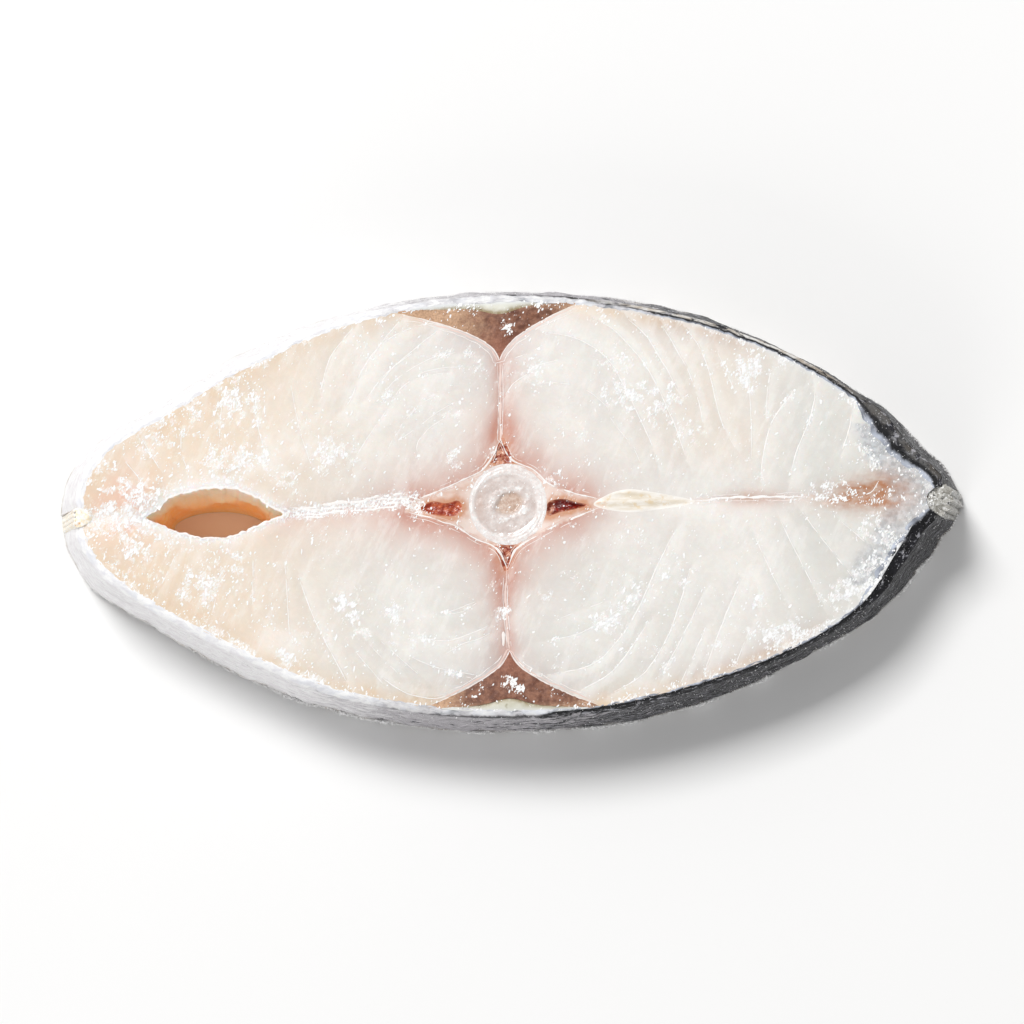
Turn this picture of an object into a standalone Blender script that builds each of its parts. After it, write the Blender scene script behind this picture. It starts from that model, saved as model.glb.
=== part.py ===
"""Frozen cod steak: one slice cut across a cod, lying on its lower cut face.

Section coordinates (u, v) are millimetres in the upper cut, measured from the middle of the
backbone: +u runs to the back of the fish, -u to its belly, +v and -v to its two flanks.
Every piece is drawn there once, and `place` carries it down through the slice: the section
grows a little wider and leans towards the lower cut, because the fish tapers to its tail.
Distances in this file are millimetres; `place` turns them into metres.
"""

import math

import bpy
from mathutils import Vector
from mathutils.geometry import delaunay_2d_cdt, interpolate_bezier

MM = 0.001

# Driving sizes
THICKNESS = 20.0
SPREAD_U = 0.058
SPREAD_V = 0.063
PINCH = 0.06
PINCH_MIDDLE = 58.0
PINCH_WIDTH = 14.0
LEAN = 1.5
GAP = 0.3
EDGE_STEP = 1.6

# Outer edge of the flesh in the upper cut, against the clock from the belly
FLESH_EDGE = [
    (-78.9, -2.5), (-77.2, -8.3), (-70.6, -15.2), (-50.0, -26.7), (-29.5, -35.0),
    (-5.0, -38.4), (20.0, -37.0), (47.0, -29.2), (64.0, -19.6), (71.6, -9.2),
    (75.4, -3.0), (79.6, 1.2), (76.4, 6.2), (72.0, 10.6), (66.0, 18.6),
    (50.6, 28.2), (30.0, 35.2), (3.0, 38.3), (-25.0, 35.2), (-48.0, 26.1),
    (-62.0, 17.7), (-72.5, 11.3), (-77.7, 5.2),
]

# Backbone and the pieces round it
BONE_U = 7.2
BONE_V = 7.6
BONE_PROFILE = [
    (0.0, 1.6), (0.17, 1.55), (0.30, 1.2), (0.40, 0.9), (0.52, 0.95),
    (0.66, 0.9), (0.80, 0.7), (0.90, 0.55), (0.97, 0.55), (1.0, 0.8),
]
BONE_BASE_SHARE = 0.6
HAEMAL_MIDDLE = (-12.8, -0.8)
HAEMAL_REACH = (3.7, 1.6)
NEURAL_MIDDLE = (11.3, -0.6)
NEURAL_REACH = (3.0, 1.5)
SIDE_BLOOD_REACH = 12.2
SIDE_BLOOD_HALF_WIDTH = 2.1

# The neural spine in the upper cut: it starts narrow, widens and tapers to the back
SPINE_KNOTS = [
    (15.8, 0.0), (17.0, -0.7), (19.4, -1.2), (22.5, -1.5), (26.0, -1.2), (29.5, -0.7), (33.0, -0.1),
    (34.6, 0.6), (33.0, 1.1), (29.5, 1.8), (26.0, 2.4), (22.5, 2.8), (19.4, 2.2), (17.0, 1.0),
]

# Dark muscle under the skin of each flank: apex, ends and how fast each arm opens
DARK_UPPER = {"side": 1, "apex": (-1.6, 26.9), "ends": (-21.0, 13.0), "powers": (0.43, 0.55)}
DARK_LOWER = {"side": -1, "apex": (0.3, -27.3), "ends": (-15.0, 17.0), "powers": (0.58, 0.56)}
APEX_BLUNTNESS = 1e-6
THINNEST_WEDGE = 0.35
FAT_BASE = 1.2
FAT_CREST = 1.3
FAT_CREST_WIDTH = 3.8
FAT_TOP = 19.55

# Belly cavity: a slit that runs through the slice and narrows downwards
CAVITY_LIP = [
    (-66.7, -2.6), (-63.4, -4.3), (-58.6, -6.0), (-53.5, -6.3), (-49.6, -5.6),
    (-45.5, -3.7), (-41.4, -1.9), (-44.6, 0.0), (-48.8, 2.4), (-54.0, 3.2),
    (-59.0, 2.4), (-62.9, 1.0), (-64.6, -0.8),
]
CAVITY_MIDDLE = (-53.6, -1.6)
CAVITY_REACH = (13.2, 4.7)
CAVITY_FOOT_MIDDLE = (-51.4, -3.5)
CAVITY_FOOT_REACH = (8.4, 3.3)
CAVITY_FOLD = 0.45

# Outer wall of the skin: how far it stands off the flesh edge at its rim and at its foot
SKIN_CLEARANCE = 0.45
SKIN_BULGE = 0.3
SKIN_WAVE = 0.3
SKIN_ROLL = 0.35
SKIN_INNER_DROP = 0.7
SKIN_CREST_DROP = 0.05
SKIN_RIM_DROP = 0.1
SKIN_RIM = [(-80.0, 1.3), (-20.0, 1.3), (10.0, 1.15), (40.0, 0.95), (62.0, 1.0), (73.0, 2.3), (80.0, 2.7)]
SKIN_FOOT_LOWER = [
    (-79.0, 0.9), (-74.0, 1.3), (-62.0, 1.1), (-51.0, 1.7), (-42.0, 1.5), (-29.0, 1.0),
    (-10.0, 1.2), (10.0, 0.75), (25.0, 1.1), (40.0, 1.0), (56.0, 0.8), (66.0, 1.2),
    (71.0, 2.2), (74.0, 3.2), (76.5, 3.0), (79.6, 1.7),
]
SKIN_FOOT_UPPER = [
    (-79.0, 1.3), (-74.0, 1.5), (-66.0, 1.4), (-55.0, 1.3), (-46.0, 2.2), (-38.0, 2.0),
    (-25.0, 1.4), (-5.0, 1.3), (10.0, 0.9), (20.0, 1.3), (40.0, 0.9), (62.0, 1.0),
    (68.0, 1.5), (72.0, 2.7), (76.0, 2.7), (79.6, 1.9),
]

# Ends of the skin: the fat in the belly slit and the fin base on the back
BELLY_SPAN = ((-78.8, -0.9), (-78.7, -4.2))
BELLY_DEPTH = 1.7
FIN_SPAN = ((77.8, -1.0), (79.1, 3.0))
FIN_DEPTH = 1.0
PLUG_DOME = 0.8

# Relief of the cut face
FLESH_TOP = 19.6
LOBE_FALL = 0.6
SWELL = 0.12
FLAKE_FURROW = 0.2
FLAKE_PITCH = 5.3
FLAKE_STEP = 3.1

# How finely the solids are divided
BONE_SIDES = 36
POCKET_SIDES = 20
EDGE_ROOM = 1.2
SEAM_ROOM = 1.35
GRID_STEP = 2.4
GRID_ROOM = 1.6
BASE_STEP = 5.2
BASE_ROOM = 1.6
CAVITY_BANDS = 6
WEDGE_STEP = 2.0
WEDGE_ROOM = 0.9
PLUG_STEP = 1.0
PLUG_BANDS = 4


# Curves in the section
def smooth_loop(knots, step):
    """A closed curve through the knots, with points about `step` apart."""
    dense = []
    count = len(knots)
    for i in range(count):
        before, start, stop, after = (Vector(knots[(i + k) % count]) for k in (-1, 0, 1, 2))
        lead = start + (stop - before) / 6
        trail = stop - (after - start) / 6
        dense += interpolate_bezier(start, lead, trail, stop, 24)[:-1]
    return evenly(dense, step, closed=True)


def evenly(points, step, closed=False):
    """The same curve with its points spread evenly along it."""
    path = list(points) + ([points[0]] if closed else [])
    lengths = [0.0]
    for a, b in zip(path, path[1:]):
        lengths.append(lengths[-1] + math.dist(a, b))
    count = max(3, round(lengths[-1] / step))
    result, j = [], 0
    for i in range(count if closed else count + 1):
        target = lengths[-1] * i / count
        while j < len(path) - 2 and lengths[j + 1] < target:
            j += 1
        share = (target - lengths[j]) / max(lengths[j + 1] - lengths[j], 1e-9)
        a, b = path[j], path[j + 1]
        result.append((a[0] + (b[0] - a[0]) * share, a[1] + (b[1] - a[1]) * share))
    return result


def outward(points, i, closed=True):
    """Unit normal to the right of the direction of travel."""
    count = len(points)
    a = points[(i - 1) % count] if closed else points[max(i - 1, 0)]
    b = points[(i + 1) % count] if closed else points[min(i + 1, count - 1)]
    along = (b[0] - a[0], b[1] - a[1])
    length = math.hypot(*along) or 1.0
    return along[1] / length, -along[0] / length


def offset(points, distance, closed=True):
    """The curve moved to its right by `distance`."""
    moved = []
    for i, (u, v) in enumerate(points):
        normal = outward(points, i, closed)
        moved.append((u + normal[0] * distance, v + normal[1] * distance))
    return moved


def ellipse(middle, reach, count, clockwise=False):
    turn = -1 if clockwise else 1
    return [
        (
            middle[0] + reach[0] * math.cos(turn * math.tau * i / count),
            middle[1] + reach[1] * math.sin(turn * math.tau * i / count),
        )
        for i in range(count)
    ]


def nearest(points, target):
    return min(range(len(points)), key=lambda i: math.dist(points[i], target))


def stretch(loop, start, stop):
    """The part of a closed curve from near `start` forward to near `stop`."""
    first, last = nearest(loop, start), nearest(loop, stop)
    count = (last - first) % len(loop)
    return [loop[(first + i) % len(loop)] for i in range(count + 1)]


EDGE = smooth_loop(FLESH_EDGE, EDGE_STEP)


def edge_point(position):
    """Point of the flesh edge at a position counted in its steps."""
    i = math.floor(position)
    a, b = EDGE[i % len(EDGE)], EDGE[(i + 1) % len(EDGE)]
    return a[0] + (b[0] - a[0]) * (position - i), a[1] + (b[1] - a[1]) * (position - i)


def edge_normal(position):
    """Direction out of the slice, evened out over three steps each way."""
    a, b = edge_point(position - 3), edge_point(position + 3)
    length = math.dist(a, b)
    return (b[1] - a[1]) / length, (a[0] - b[0]) / length


def along(pairs, u):
    """Value at u between pairs of place and value, with easy bends."""
    for (a, low), (b, high) in zip(pairs, pairs[1:]):
        if u <= b:
            share = max(0.0, (u - a) / (b - a))
            return low + (high - low) * share * share * (3 - 2 * share)
    return pairs[-1][1]


def flank(side, u):
    """Where the flesh edge of one flank lies at u."""
    pairs = zip(EDGE, EDGE[1:] + EDGE[:1])
    for a, b in pairs:
        low, high = sorted((a[0], b[0]))
        if low <= u < high and side * (a[1] + b[1]) > 0:
            return a[1] + (b[1] - a[1]) * (u - a[0]) / (b[0] - a[0])
    raise ValueError(u)


# The dark muscle and the fat over it
def arch(dark, reach):
    """Inner edge of a dark muscle at a signed share of its arm, from -1 to 1."""
    apex_u, apex_v = dark["apex"]
    arm = 1 if reach > 0 else 0
    end_u = dark["ends"][arm]
    power = dark["powers"][arm] / 2
    foot = APEX_BLUNTNESS**power
    rise = ((reach * reach + APEX_BLUNTNESS) ** power - foot) / ((1 + APEX_BLUNTNESS) ** power - foot)
    u = apex_u + (end_u - apex_u) * abs(reach)
    return u, apex_v + (flank(dark["side"], end_u) - apex_v) * rise


def arch_line(dark):
    """Both arms of the arch, from the belly end to the back end, closer at the apex."""
    shares = [-((i / 14) ** 1.7) for i in range(14, 0, -1)]
    return [arch(dark, reach) for reach in shares + [0.0] + [-s for s in reversed(shares)]]


def fat_depth(dark, u):
    """How far the fat under the skin reaches into the dark muscle."""
    start, stop = dark["ends"][0] + 2.5, dark["ends"][1] - 2.0
    x = (2 * u - start - stop) / (stop - start)
    crest = FAT_CREST * math.exp(-(((u - dark["apex"][0]) / FAT_CREST_WIDTH) ** 2))
    return max(0.0, FAT_BASE * (1 - x * x) + crest) if abs(x) < 1 else 0.0


def dark_loop(dark):
    """Outline of one dark muscle, against the clock."""
    side = dark["side"]
    inner, outer = [], []
    for u, v in arch_line(dark):
        top = flank(side, u) - side * (GAP / 2 + fat_depth(dark, u))
        if fat_depth(dark, u) > 0:
            top -= side * GAP
        bottom = v + side * GAP
        if side * (top - bottom) > THINNEST_WEDGE:
            inner.append((u, bottom))
            outer.append((u, top))
    return inner + outer[::-1] if side > 0 else outer + inner[::-1]


def fat_loop(dark):
    """Outline of the fat between a dark muscle and the skin, against the clock."""
    side = dark["side"]
    start, stop = dark["ends"][0] + 3.2, dark["ends"][1] - 2.7
    stations = [start + (stop - start) * i / 22 for i in range(23)]
    under = [(u, flank(side, u) - side * (GAP / 2 + fat_depth(dark, u))) for u in stations]
    over = [(u, flank(side, u) - side * GAP / 2) for u in stations]
    return under + over[::-1] if side > 0 else over + under[::-1]


# Holes in the flesh
def side_blood_loop(side):
    """A small triangle of blood against the flank side of the backbone."""
    base, tip, half = BONE_V + 3.5 * GAP, SIDE_BLOOD_REACH, SIDE_BLOOD_HALF_WIDTH
    corners = [(-half, base + 0.35), (0.0, base), (half, base + 0.35), (0.35, tip), (-0.35, tip)]
    middle = -0.9 if side > 0 else 0.0
    points = evenly([(u + middle, side * v) for u, v in corners], 1.0, closed=True)
    return points if side > 0 else points[::-1]


def spine_loop():
    return smooth_loop(SPINE_KNOTS, 1.3)


def cavity_lip():
    return smooth_loop(CAVITY_LIP, 1.15)


def cavity_foot():
    """The cavity in the lower cut, with as many points as its lip."""
    foot = []
    for u, v in cavity_lip():
        across = (u - CAVITY_MIDDLE[0]) / CAVITY_REACH[0]
        turn = math.atan2((v - CAVITY_MIDDLE[1]) / CAVITY_REACH[1], across)
        foot_u = CAVITY_FOOT_MIDDLE[0] + CAVITY_FOOT_REACH[0] * math.cos(turn)
        foot_v = CAVITY_FOOT_MIDDLE[1] + CAVITY_FOOT_REACH[1] * math.sin(turn)
        foot.append((foot_u, foot_v))
    return foot


def bay(start, stop, depth):
    """Points between two others on a bow to the left of the way from one to the other."""
    length = math.dist(start, stop)
    left = ((start[1] - stop[1]) / length, (stop[0] - start[0]) / length)
    points = []
    for share in (0.12, 0.3, 0.5, 0.7, 0.88):
        into = depth * math.sin(math.pi * share)
        u = start[0] + (stop[0] - start[0]) * share + left[0] * into
        v = start[1] + (stop[1] - start[1]) * share + left[1] * into
        points.append((u, v))
    return points


def flesh_loop():
    """Outer edge of the flesh, against the clock, with bays for its neighbours."""
    lower_dark, upper_dark = arch_line(DARK_LOWER), arch_line(DARK_UPPER)[::-1]
    line = stretch(EDGE, BELLY_SPAN[1], lower_dark[0])[:-1] + lower_dark
    line += stretch(EDGE, lower_dark[-1], FIN_SPAN[0])[1:]
    fin_stop = stretch(EDGE, FIN_SPAN[1], upper_dark[0])[:-1]
    line += bay(line[-1], fin_stop[0], FIN_DEPTH + GAP) + fin_stop + upper_dark
    line += stretch(EDGE, upper_dark[-1], BELLY_SPAN[0])[1:]
    line += bay(line[-1], line[0], BELLY_DEPTH + GAP)
    return offset(line, -GAP / 2)


# Relief of the upper cut
def distance_to_line(point, line):
    """Least distance from a point to a polyline."""
    least = 1e9
    for a, b in zip(line, line[1:]):
        along = (b[0] - a[0], b[1] - a[1])
        share = (point[0] - a[0]) * along[0] + (point[1] - a[1]) * along[1]
        share = min(1.0, max(0.0, share / max(along[0] ** 2 + along[1] ** 2, 1e-9)))
        foot = (a[0] + along[0] * share, a[1] + along[1] * share)
        least = min(least, math.dist(point, foot))
    return least


UPPER_SEPTUM = [(-1.6, 26.9), (-1.3, 19.7), (-1.5, 12.0), (-0.9, 8.0)]
LOWER_SEPTUM = [(0.0, -8.0), (-0.4, -12.0), (-0.5, -18.0), (0.3, -27.3)]
BELLY_SEPTUM = [(-16.6, -0.4), (-20.0, 0.9), (-27.4, -0.2), (-34.8, -1.3), (-40.2, -1.6)]
BACK_SEPTUM = [(28.0, -0.3), (33.7, 0.7), (41.0, 1.2), (55.0, 1.5), (72.6, 1.7)]
SLIT_SEPTUM = [(-66.9, -2.6), (-72.0, -2.2), (-77.4, -2.8)]
SEPTA = [UPPER_SEPTUM, LOWER_SEPTUM, BELLY_SEPTUM, BACK_SEPTUM, SLIT_SEPTUM]
ARCHES = [arch_line(DARK_UPPER), arch_line(DARK_LOWER)]


def relief(u, v):
    """Height of the flesh: four lobes that fall towards the septa, the arches and the bone."""
    from_bone = math.hypot(u / BONE_U, v / BONE_V) * BONE_U - BONE_U
    nearby = min(distance_to_line((u, v), line) for line in SEPTA + ARCHES)
    nearby = min(nearby, max(from_bone, 0.0))
    fall = LOBE_FALL * math.exp(-((nearby / 3.2) ** 1.3))
    swell = SWELL * math.sin(u / 9.0 + 1.0) * math.cos(v / 7.0)
    return FLESH_TOP - fall + swell


def flake_line(side, end, t):
    """One seam between two flakes: from the flank edge at u = t in to the middle septum."""
    if end > 0:
        foot_u = 33.7 + 0.5 * (t - 15.2)
        bulge = 4.0 - 3.4 * (t - 10) / 55
    else:
        foot_u = -41.0 + (t + 38.5) * (0.45 if t > -38.5 else 0.85)
        bulge = -3.4 * max(0.0, 1 - abs(t + 22) / 30)
    top = (t, flank(side, t) - side * 1.2)
    foot = (foot_u, side * 2.0)
    points = []
    for i in range(9):
        share = i / 8
        bow = 4 * share * (1 - share) * bulge
        u = foot[0] + (top[0] - foot[0]) * share + bow
        points.append((u, foot[1] + (top[1] - foot[1]) * share))
    return evenly(points, FLAKE_STEP)


def flake_points():
    """Points on the seams and on the crests between them, with the seams marked."""
    found = []
    for side in (1, -1):
        for end, first, count in ((1, 4.6, 24), (-1, -2.4, 28)):
            for k in range(count):
                seam = k % 2 == 0
                t = first + end * FLAKE_PITCH / 2 * k
                if abs(t) < 74:
                    found += [(u, v, seam) for u, v in flake_line(side, end, t)]
    return found


# Solids
def place(u, v, z):
    """A point of the section at height z, in metres about the backbone's axis."""
    drop = 1 - z / THICKNESS
    spread_v = SPREAD_V - PINCH * math.exp(-(((u - PINCH_MIDDLE) / PINCH_WIDTH) ** 2))
    x = u * (1 + SPREAD_U * drop)
    y = v * (1 + spread_v * drop) + LEAN * drop
    return Vector((x * MM, y * MM, z * MM))


def inside(point, loop):
    crossings = False
    for a, b in zip(loop, loop[1:] + loop[:1]):
        if (a[1] > point[1]) != (b[1] > point[1]):
            u = a[0] + (b[0] - a[0]) * (point[1] - a[1]) / (b[1] - a[1])
            crossings ^= point[0] < u
    return crossings


def triangulate(loops, extra):
    """Triangles of a plane region: its first loop is the outside, the others are holes."""
    points = [Vector(p) for loop in loops for p in loop]
    edges, start = [], 0
    for loop in loops:
        count = len(loop)
        edges += [(start + i, start + (i + 1) % count) for i in range(count)]
        start += count
    points += [Vector(p) for p in extra]
    flat, _, faces, origins, _, _ = delaunay_2d_cdt(points, edges, [], 1, 1e-6)
    first = [origin[0] for origin in origins]
    triangles = []
    for face in faces:
        middle = sum((flat[i] for i in face), Vector((0.0, 0.0))) / 3
        if not any(inside(middle, hole) for hole in loops[1:]):
            triangles.append(tuple(first[i] for i in face))
    return triangles


def spread(loops, step, room):
    """Points of a triangular grid that lie in the region and keep clear of its edges."""
    edge = [p for loop in loops for p in loop]
    low_u, high_u = min(p[0] for p in edge), max(p[0] for p in edge)
    low_v, high_v = min(p[1] for p in edge), max(p[1] for p in edge)
    found, row, v = [], 0, low_v
    while v < high_v:
        u = low_u + (step / 2 if row % 2 else 0.0)
        while u < high_u:
            found.append((u, v))
            u += step
        v += step * math.sqrt(3) / 2
        row += 1
    return keep_clear(found, loops, room)


def keep_clear(found, loops, room):
    """Those of the points that lie in the region, `room` or more from its edges."""
    edge = [p for loop in loops for p in loop]
    kept = []
    for point in found:
        at = (point[0], point[1])
        if not inside(at, loops[0]) or any(inside(at, hole) for hole in loops[1:]):
            continue
        if min((at[0] - p[0]) ** 2 + (at[1] - p[1]) ** 2 for p in edge) > room * room:
            kept.append(point)
    return kept


def thinned(points, room):
    """The points, without any that lies nearer than `room` to one already taken."""
    kept, cells = [], {}
    for point in points:
        cell = (int(point[0] // room), int(point[1] // room))
        near = [
            q
            for i in (-1, 0, 1)
            for j in (-1, 0, 1)
            for q in cells.get((cell[0] + i, cell[1] + j), [])
        ]
        if all(math.dist(point[:2], q[:2]) >= room for q in near):
            cells.setdefault(cell, []).append(point)
            kept.append(point)
    return kept


def build(name, points, faces, material, sharp=50.0):
    mesh = bpy.data.meshes.new(name)
    mesh.from_pydata(points, [], faces)
    mesh.update()
    mesh.shade_smooth()
    mesh.set_sharp_from_angle(angle=math.radians(sharp))
    mesh.materials.append(material)
    piece = bpy.data.objects.new(name, mesh)
    bpy.context.scene.collection.objects.link(piece)
    return piece


def straight(u, v, share):
    return u, v


def slab(
    name, loops, top, bottom, material, feet=None, levels=None, above=(), below=(), fold=straight
):
    """A solid between two cuts.

    `loops` are the region's edges in the upper cut, the first against the clock and the holes
    with it, and `feet` the same edges in the lower cut. `top` and `bottom` give heights,
    `levels` how many bands each loop's wall has, `above` and `below` further points, and
    `fold` moves the points of the bands.
    """
    feet = feet or loops
    levels = levels or [1] * len(loops)
    points, faces = [], []
    roof_start, rim = [], []
    for loop in loops:
        roof_start.append(len(points))
        rim += list(range(len(points), len(points) + len(loop)))
        points += [place(u, v, top(u, v)) for u, v in loop]
    above_start = len(points)
    points += [place(p[0], p[1], top(p[0], p[1]) - lower(p)) for p in above]
    for tri in triangulate(loops, [(p[0], p[1]) for p in above]):
        count = len(rim)
        faces.append([rim[i] if i < count else above_start + i - count for i in tri])
    base_rim = []
    for k, loop in enumerate(loops):
        ring = [roof_start[k] + i for i in range(len(loop))]
        for level in range(1, levels[k] + 1):
            share = level / levels[k]
            lower_ring = list(range(len(points), len(points) + len(loop)))
            for (u, v), (foot_u, foot_v) in zip(loop, feet[k]):
                high, low = top(u, v), bottom(foot_u, foot_v)
                z = high + (low - high) * share
                at = fold(u + (foot_u - u) * share, v + (foot_v - v) * share, share)
                points.append(place(*at, z))
            for i in range(len(loop)):
                j = (i + 1) % len(loop)
                faces.append((lower_ring[i], lower_ring[j], ring[j], ring[i]))
            ring = lower_ring
        base_rim += ring
    below_start = len(points)
    points += [place(u, v, bottom(u, v)) for u, v in below]
    for tri in triangulate(feet, below):
        count = len(base_rim)
        faces.append([base_rim[i] if i < count else below_start + i - count for i in tri[::-1]])
    return build(name, points, faces, material)


def lower(point):
    """How much a point that is marked as a seam lies below the relief."""
    return FLAKE_FURROW if len(point) > 2 and point[2] else 0.0


# Materials
def material(name, colour, roughness, coat=0.0):
    made = bpy.data.materials.new(name)
    made.use_nodes = True
    shader = made.node_tree.nodes["Principled BSDF"]
    shader.inputs["Base Color"].default_value = (*colour, 1.0)
    shader.inputs["Roughness"].default_value = roughness
    shader.inputs["Metallic"].default_value = 0.0
    shader.inputs["Coat Weight"].default_value = coat
    made.diffuse_color = (*colour, 1.0)
    return made


# Sub-parts
def grown_ellipse(middle, reach, count):
    return ellipse(middle, (reach[0] + GAP, reach[1] + GAP), count, clockwise=True)


def cavity_fold(u, v, share):
    """Draws the cavity's wall into soft folds between its lip and its foot."""
    depth = CAVITY_FOLD * math.sin(math.pi * share) * math.sin(7.0 * share + 0.33 * u)
    away = math.hypot(u - CAVITY_MIDDLE[0], (v - CAVITY_MIDDLE[1]) * 2.4)
    if away > CAVITY_REACH[0] * 1.3:
        return u, v
    return u, v + depth * (1 if v > CAVITY_MIDDLE[1] else -1)


def make_flesh(finish):
    holes = [
        grown_ellipse((0.0, 0.0), (BONE_U, BONE_V), BONE_SIDES),
        grown_ellipse(HAEMAL_MIDDLE, HAEMAL_REACH, POCKET_SIDES),
        grown_ellipse(NEURAL_MIDDLE, NEURAL_REACH, POCKET_SIDES),
        offset(spine_loop(), GAP)[::-1],
        offset(side_blood_loop(1), GAP)[::-1],
        offset(side_blood_loop(-1), GAP)[::-1],
        cavity_lip()[::-1],
    ]
    loops = [flesh_loop()] + holes
    feet = loops[:-1] + [cavity_foot()[::-1]]
    above = thinned(keep_clear(flake_points(), loops, EDGE_ROOM), SEAM_ROOM)
    above += [
        p + (False,)
        for p in spread(loops, GRID_STEP, EDGE_ROOM)
        if min(math.dist(p, q[:2]) for q in above) > GRID_ROOM
    ]
    below = spread(feet, BASE_STEP, BASE_ROOM)
    levels = [1] * (len(loops) - 1) + [CAVITY_BANDS]
    return slab("flesh", loops, relief, ground, finish, feet, levels, above, below, cavity_fold)


def make_backbone(finish):
    """The vertebra: both cut faces are dished in rings round a deep middle."""
    count = BONE_SIDES
    rings = [(share, THICKNESS - dip) for share, dip in BONE_PROFILE[1:]]
    rings += [(share, dip * BONE_BASE_SHARE) for share, dip in BONE_PROFILE[:0:-1]]
    points = [place(0.0, 0.0, THICKNESS - BONE_PROFILE[0][1])]
    for share, z in rings:
        for u, v in ellipse((0.0, 0.0), (BONE_U * share, BONE_V * share), count):
            points.append(place(u, v, z))
    points.append(place(0.0, 0.0, BONE_PROFILE[0][1] * BONE_BASE_SHARE))
    faces = []
    last = len(points) - 1
    for i in range(count):
        j = (i + 1) % count
        faces.append((0, 1 + i, 1 + j))
        for ring in range(len(rings) - 1):
            a, b = 1 + ring * count, 1 + (ring + 1) * count
            faces.append((a + i, b + i, b + j, a + j))
        tail = 1 + (len(rings) - 1) * count
        faces.append((tail + j, tail + i, last))
    return build("backbone", points, faces, finish)


def ground(u, v):
    return 0.0


def make_core_piece(name, loop, finish, top, crumble, step):
    """A piece set into the flesh: its top lies at `top` and is broken up by `crumble`."""

    def height(u, v):
        return top + crumble * math.sin(2.3 * u + 1.1 * v) * math.cos(1.7 * v - 0.8 * u)

    above = spread([loop], step, step * 0.5)
    return slab(name, [loop], height, ground, finish, above=above)


def make_dark_muscle(name, dark, finish):
    def height(u, v):
        return relief(u, v) - 0.25 + 0.22 * math.sin(1.9 * u) * math.cos(1.3 * v + 0.4 * u)

    loop = dark_loop(dark)
    above = spread([loop], WEDGE_STEP, WEDGE_ROOM)
    return slab(name, [loop], height, ground, finish, above=above)


def make_subskin_fat(name, dark, finish):
    def height(u, v):
        return FAT_TOP

    return slab(name, [fat_loop(dark)], height, ground, finish)


def skin_foot(side, u):
    return along(SKIN_FOOT_UPPER if side > 0 else SKIN_FOOT_LOWER, u)


def skin_section(rim, foot, wave):
    """Cross-section of the skin as (distance from the flesh edge, height), round from inside."""
    inner = GAP / 2
    roll = (rim - inner) * SKIN_ROLL
    section = [
        (inner, SKIN_CLEARANCE),
        (inner, THICKNESS - SKIN_INNER_DROP),
        (inner + roll, THICKNESS - SKIN_CREST_DROP),
        (rim - roll, THICKNESS - SKIN_RIM_DROP),
    ]
    for share in (0.04, 0.22, 0.46, 0.7, 0.94):
        bulge = (SKIN_BULGE + wave) * math.sin(math.pi * share)
        z = THICKNESS + (SKIN_CLEARANCE - THICKNESS) * share
        section.append((rim + (foot - rim) * share + bulge, z))
    section.append((foot - (foot - inner) * SKIN_ROLL, SKIN_CLEARANCE))
    return section


def make_skin(name, side, start, stop, finish):
    """The skin of one flank, from near `start` on against the clock to near `stop`."""
    first = nearest(EDGE, start)
    last = first + (nearest(EDGE, stop) - first) % len(EDGE)
    points, faces = [], []
    for i in range(first, last + 1):
        u, v = edge_point(i)
        normal = edge_normal(i)
        wave = SKIN_WAVE * math.sin(u * 0.55 + v * 0.4) * math.sin(u * 0.21)
        section = skin_section(along(SKIN_RIM, u), skin_foot(side, u), wave)
        points += [place(u + normal[0] * away, v + normal[1] * away, z) for away, z in section]
    size = len(section)
    for i in range(last - first):
        a, b = i * size, (i + 1) * size
        for k in range(size):
            m = (k + 1) % size
            faces.append((a + k, a + m, b + m, b + k))
    tail = (last - first) * size
    faces.append(tuple(range(size - 1, -1, -1)))
    faces.append(tuple(tail + k for k in range(size)))
    return build(name, points, faces, finish)


def make_plug(name, side, span, depth, finish, top, proud):
    """The piece that fills the gap between the ends of the two skins."""
    first = nearest(EDGE, span[0])
    last = first + (nearest(EDGE, span[1]) - first) % len(EDGE)
    steps = 2 * (last - first)
    stations = [first + 0.25 + (last - first - 0.5) * i / steps for i in range(steps + 1)]
    inner = bay(edge_point(stations[0]), edge_point(stations[-1]), depth)
    inner = [edge_point(stations[-1])] + inner[::-1] + [edge_point(stations[0])]
    rim, foot = list(inner), list(inner)
    for at in stations:
        (u, v), normal = edge_point(at), edge_normal(at)
        for outline, away in ((rim, along(SKIN_RIM, u)), (foot, skin_foot(side, u))):
            outline.append((u + normal[0] * (away + proud), v + normal[1] * (away + proud)))
    middle = (sum(p[0] for p in rim) / len(rim), sum(p[1] for p in rim) / len(rim))
    widest = max(math.dist(p, middle) for p in rim)

    def height(u, v):
        return top - PLUG_DOME * (math.dist((u, v), middle) / widest) ** 2

    def low(u, v):
        return SKIN_CLEARANCE

    above = spread([rim], PLUG_STEP, PLUG_STEP / 2)
    return slab(name, [rim], height, low, finish, feet=[foot], levels=[PLUG_BANDS], above=above)


def centre_on_origin(pieces):
    """Moves the meshes so that the middle of the whole foot print is the origin."""
    corners = [vertex.co for piece in pieces for vertex in piece.data.vertices]
    low = [min(c[axis] for c in corners) for axis in (0, 1)]
    high = [max(c[axis] for c in corners) for axis in (0, 1)]
    shift = Vector((-(low[0] + high[0]) / 2, -(low[1] + high[1]) / 2, 0.0))
    for piece in pieces:
        for vertex in piece.data.vertices:
            vertex.co += shift


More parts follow.
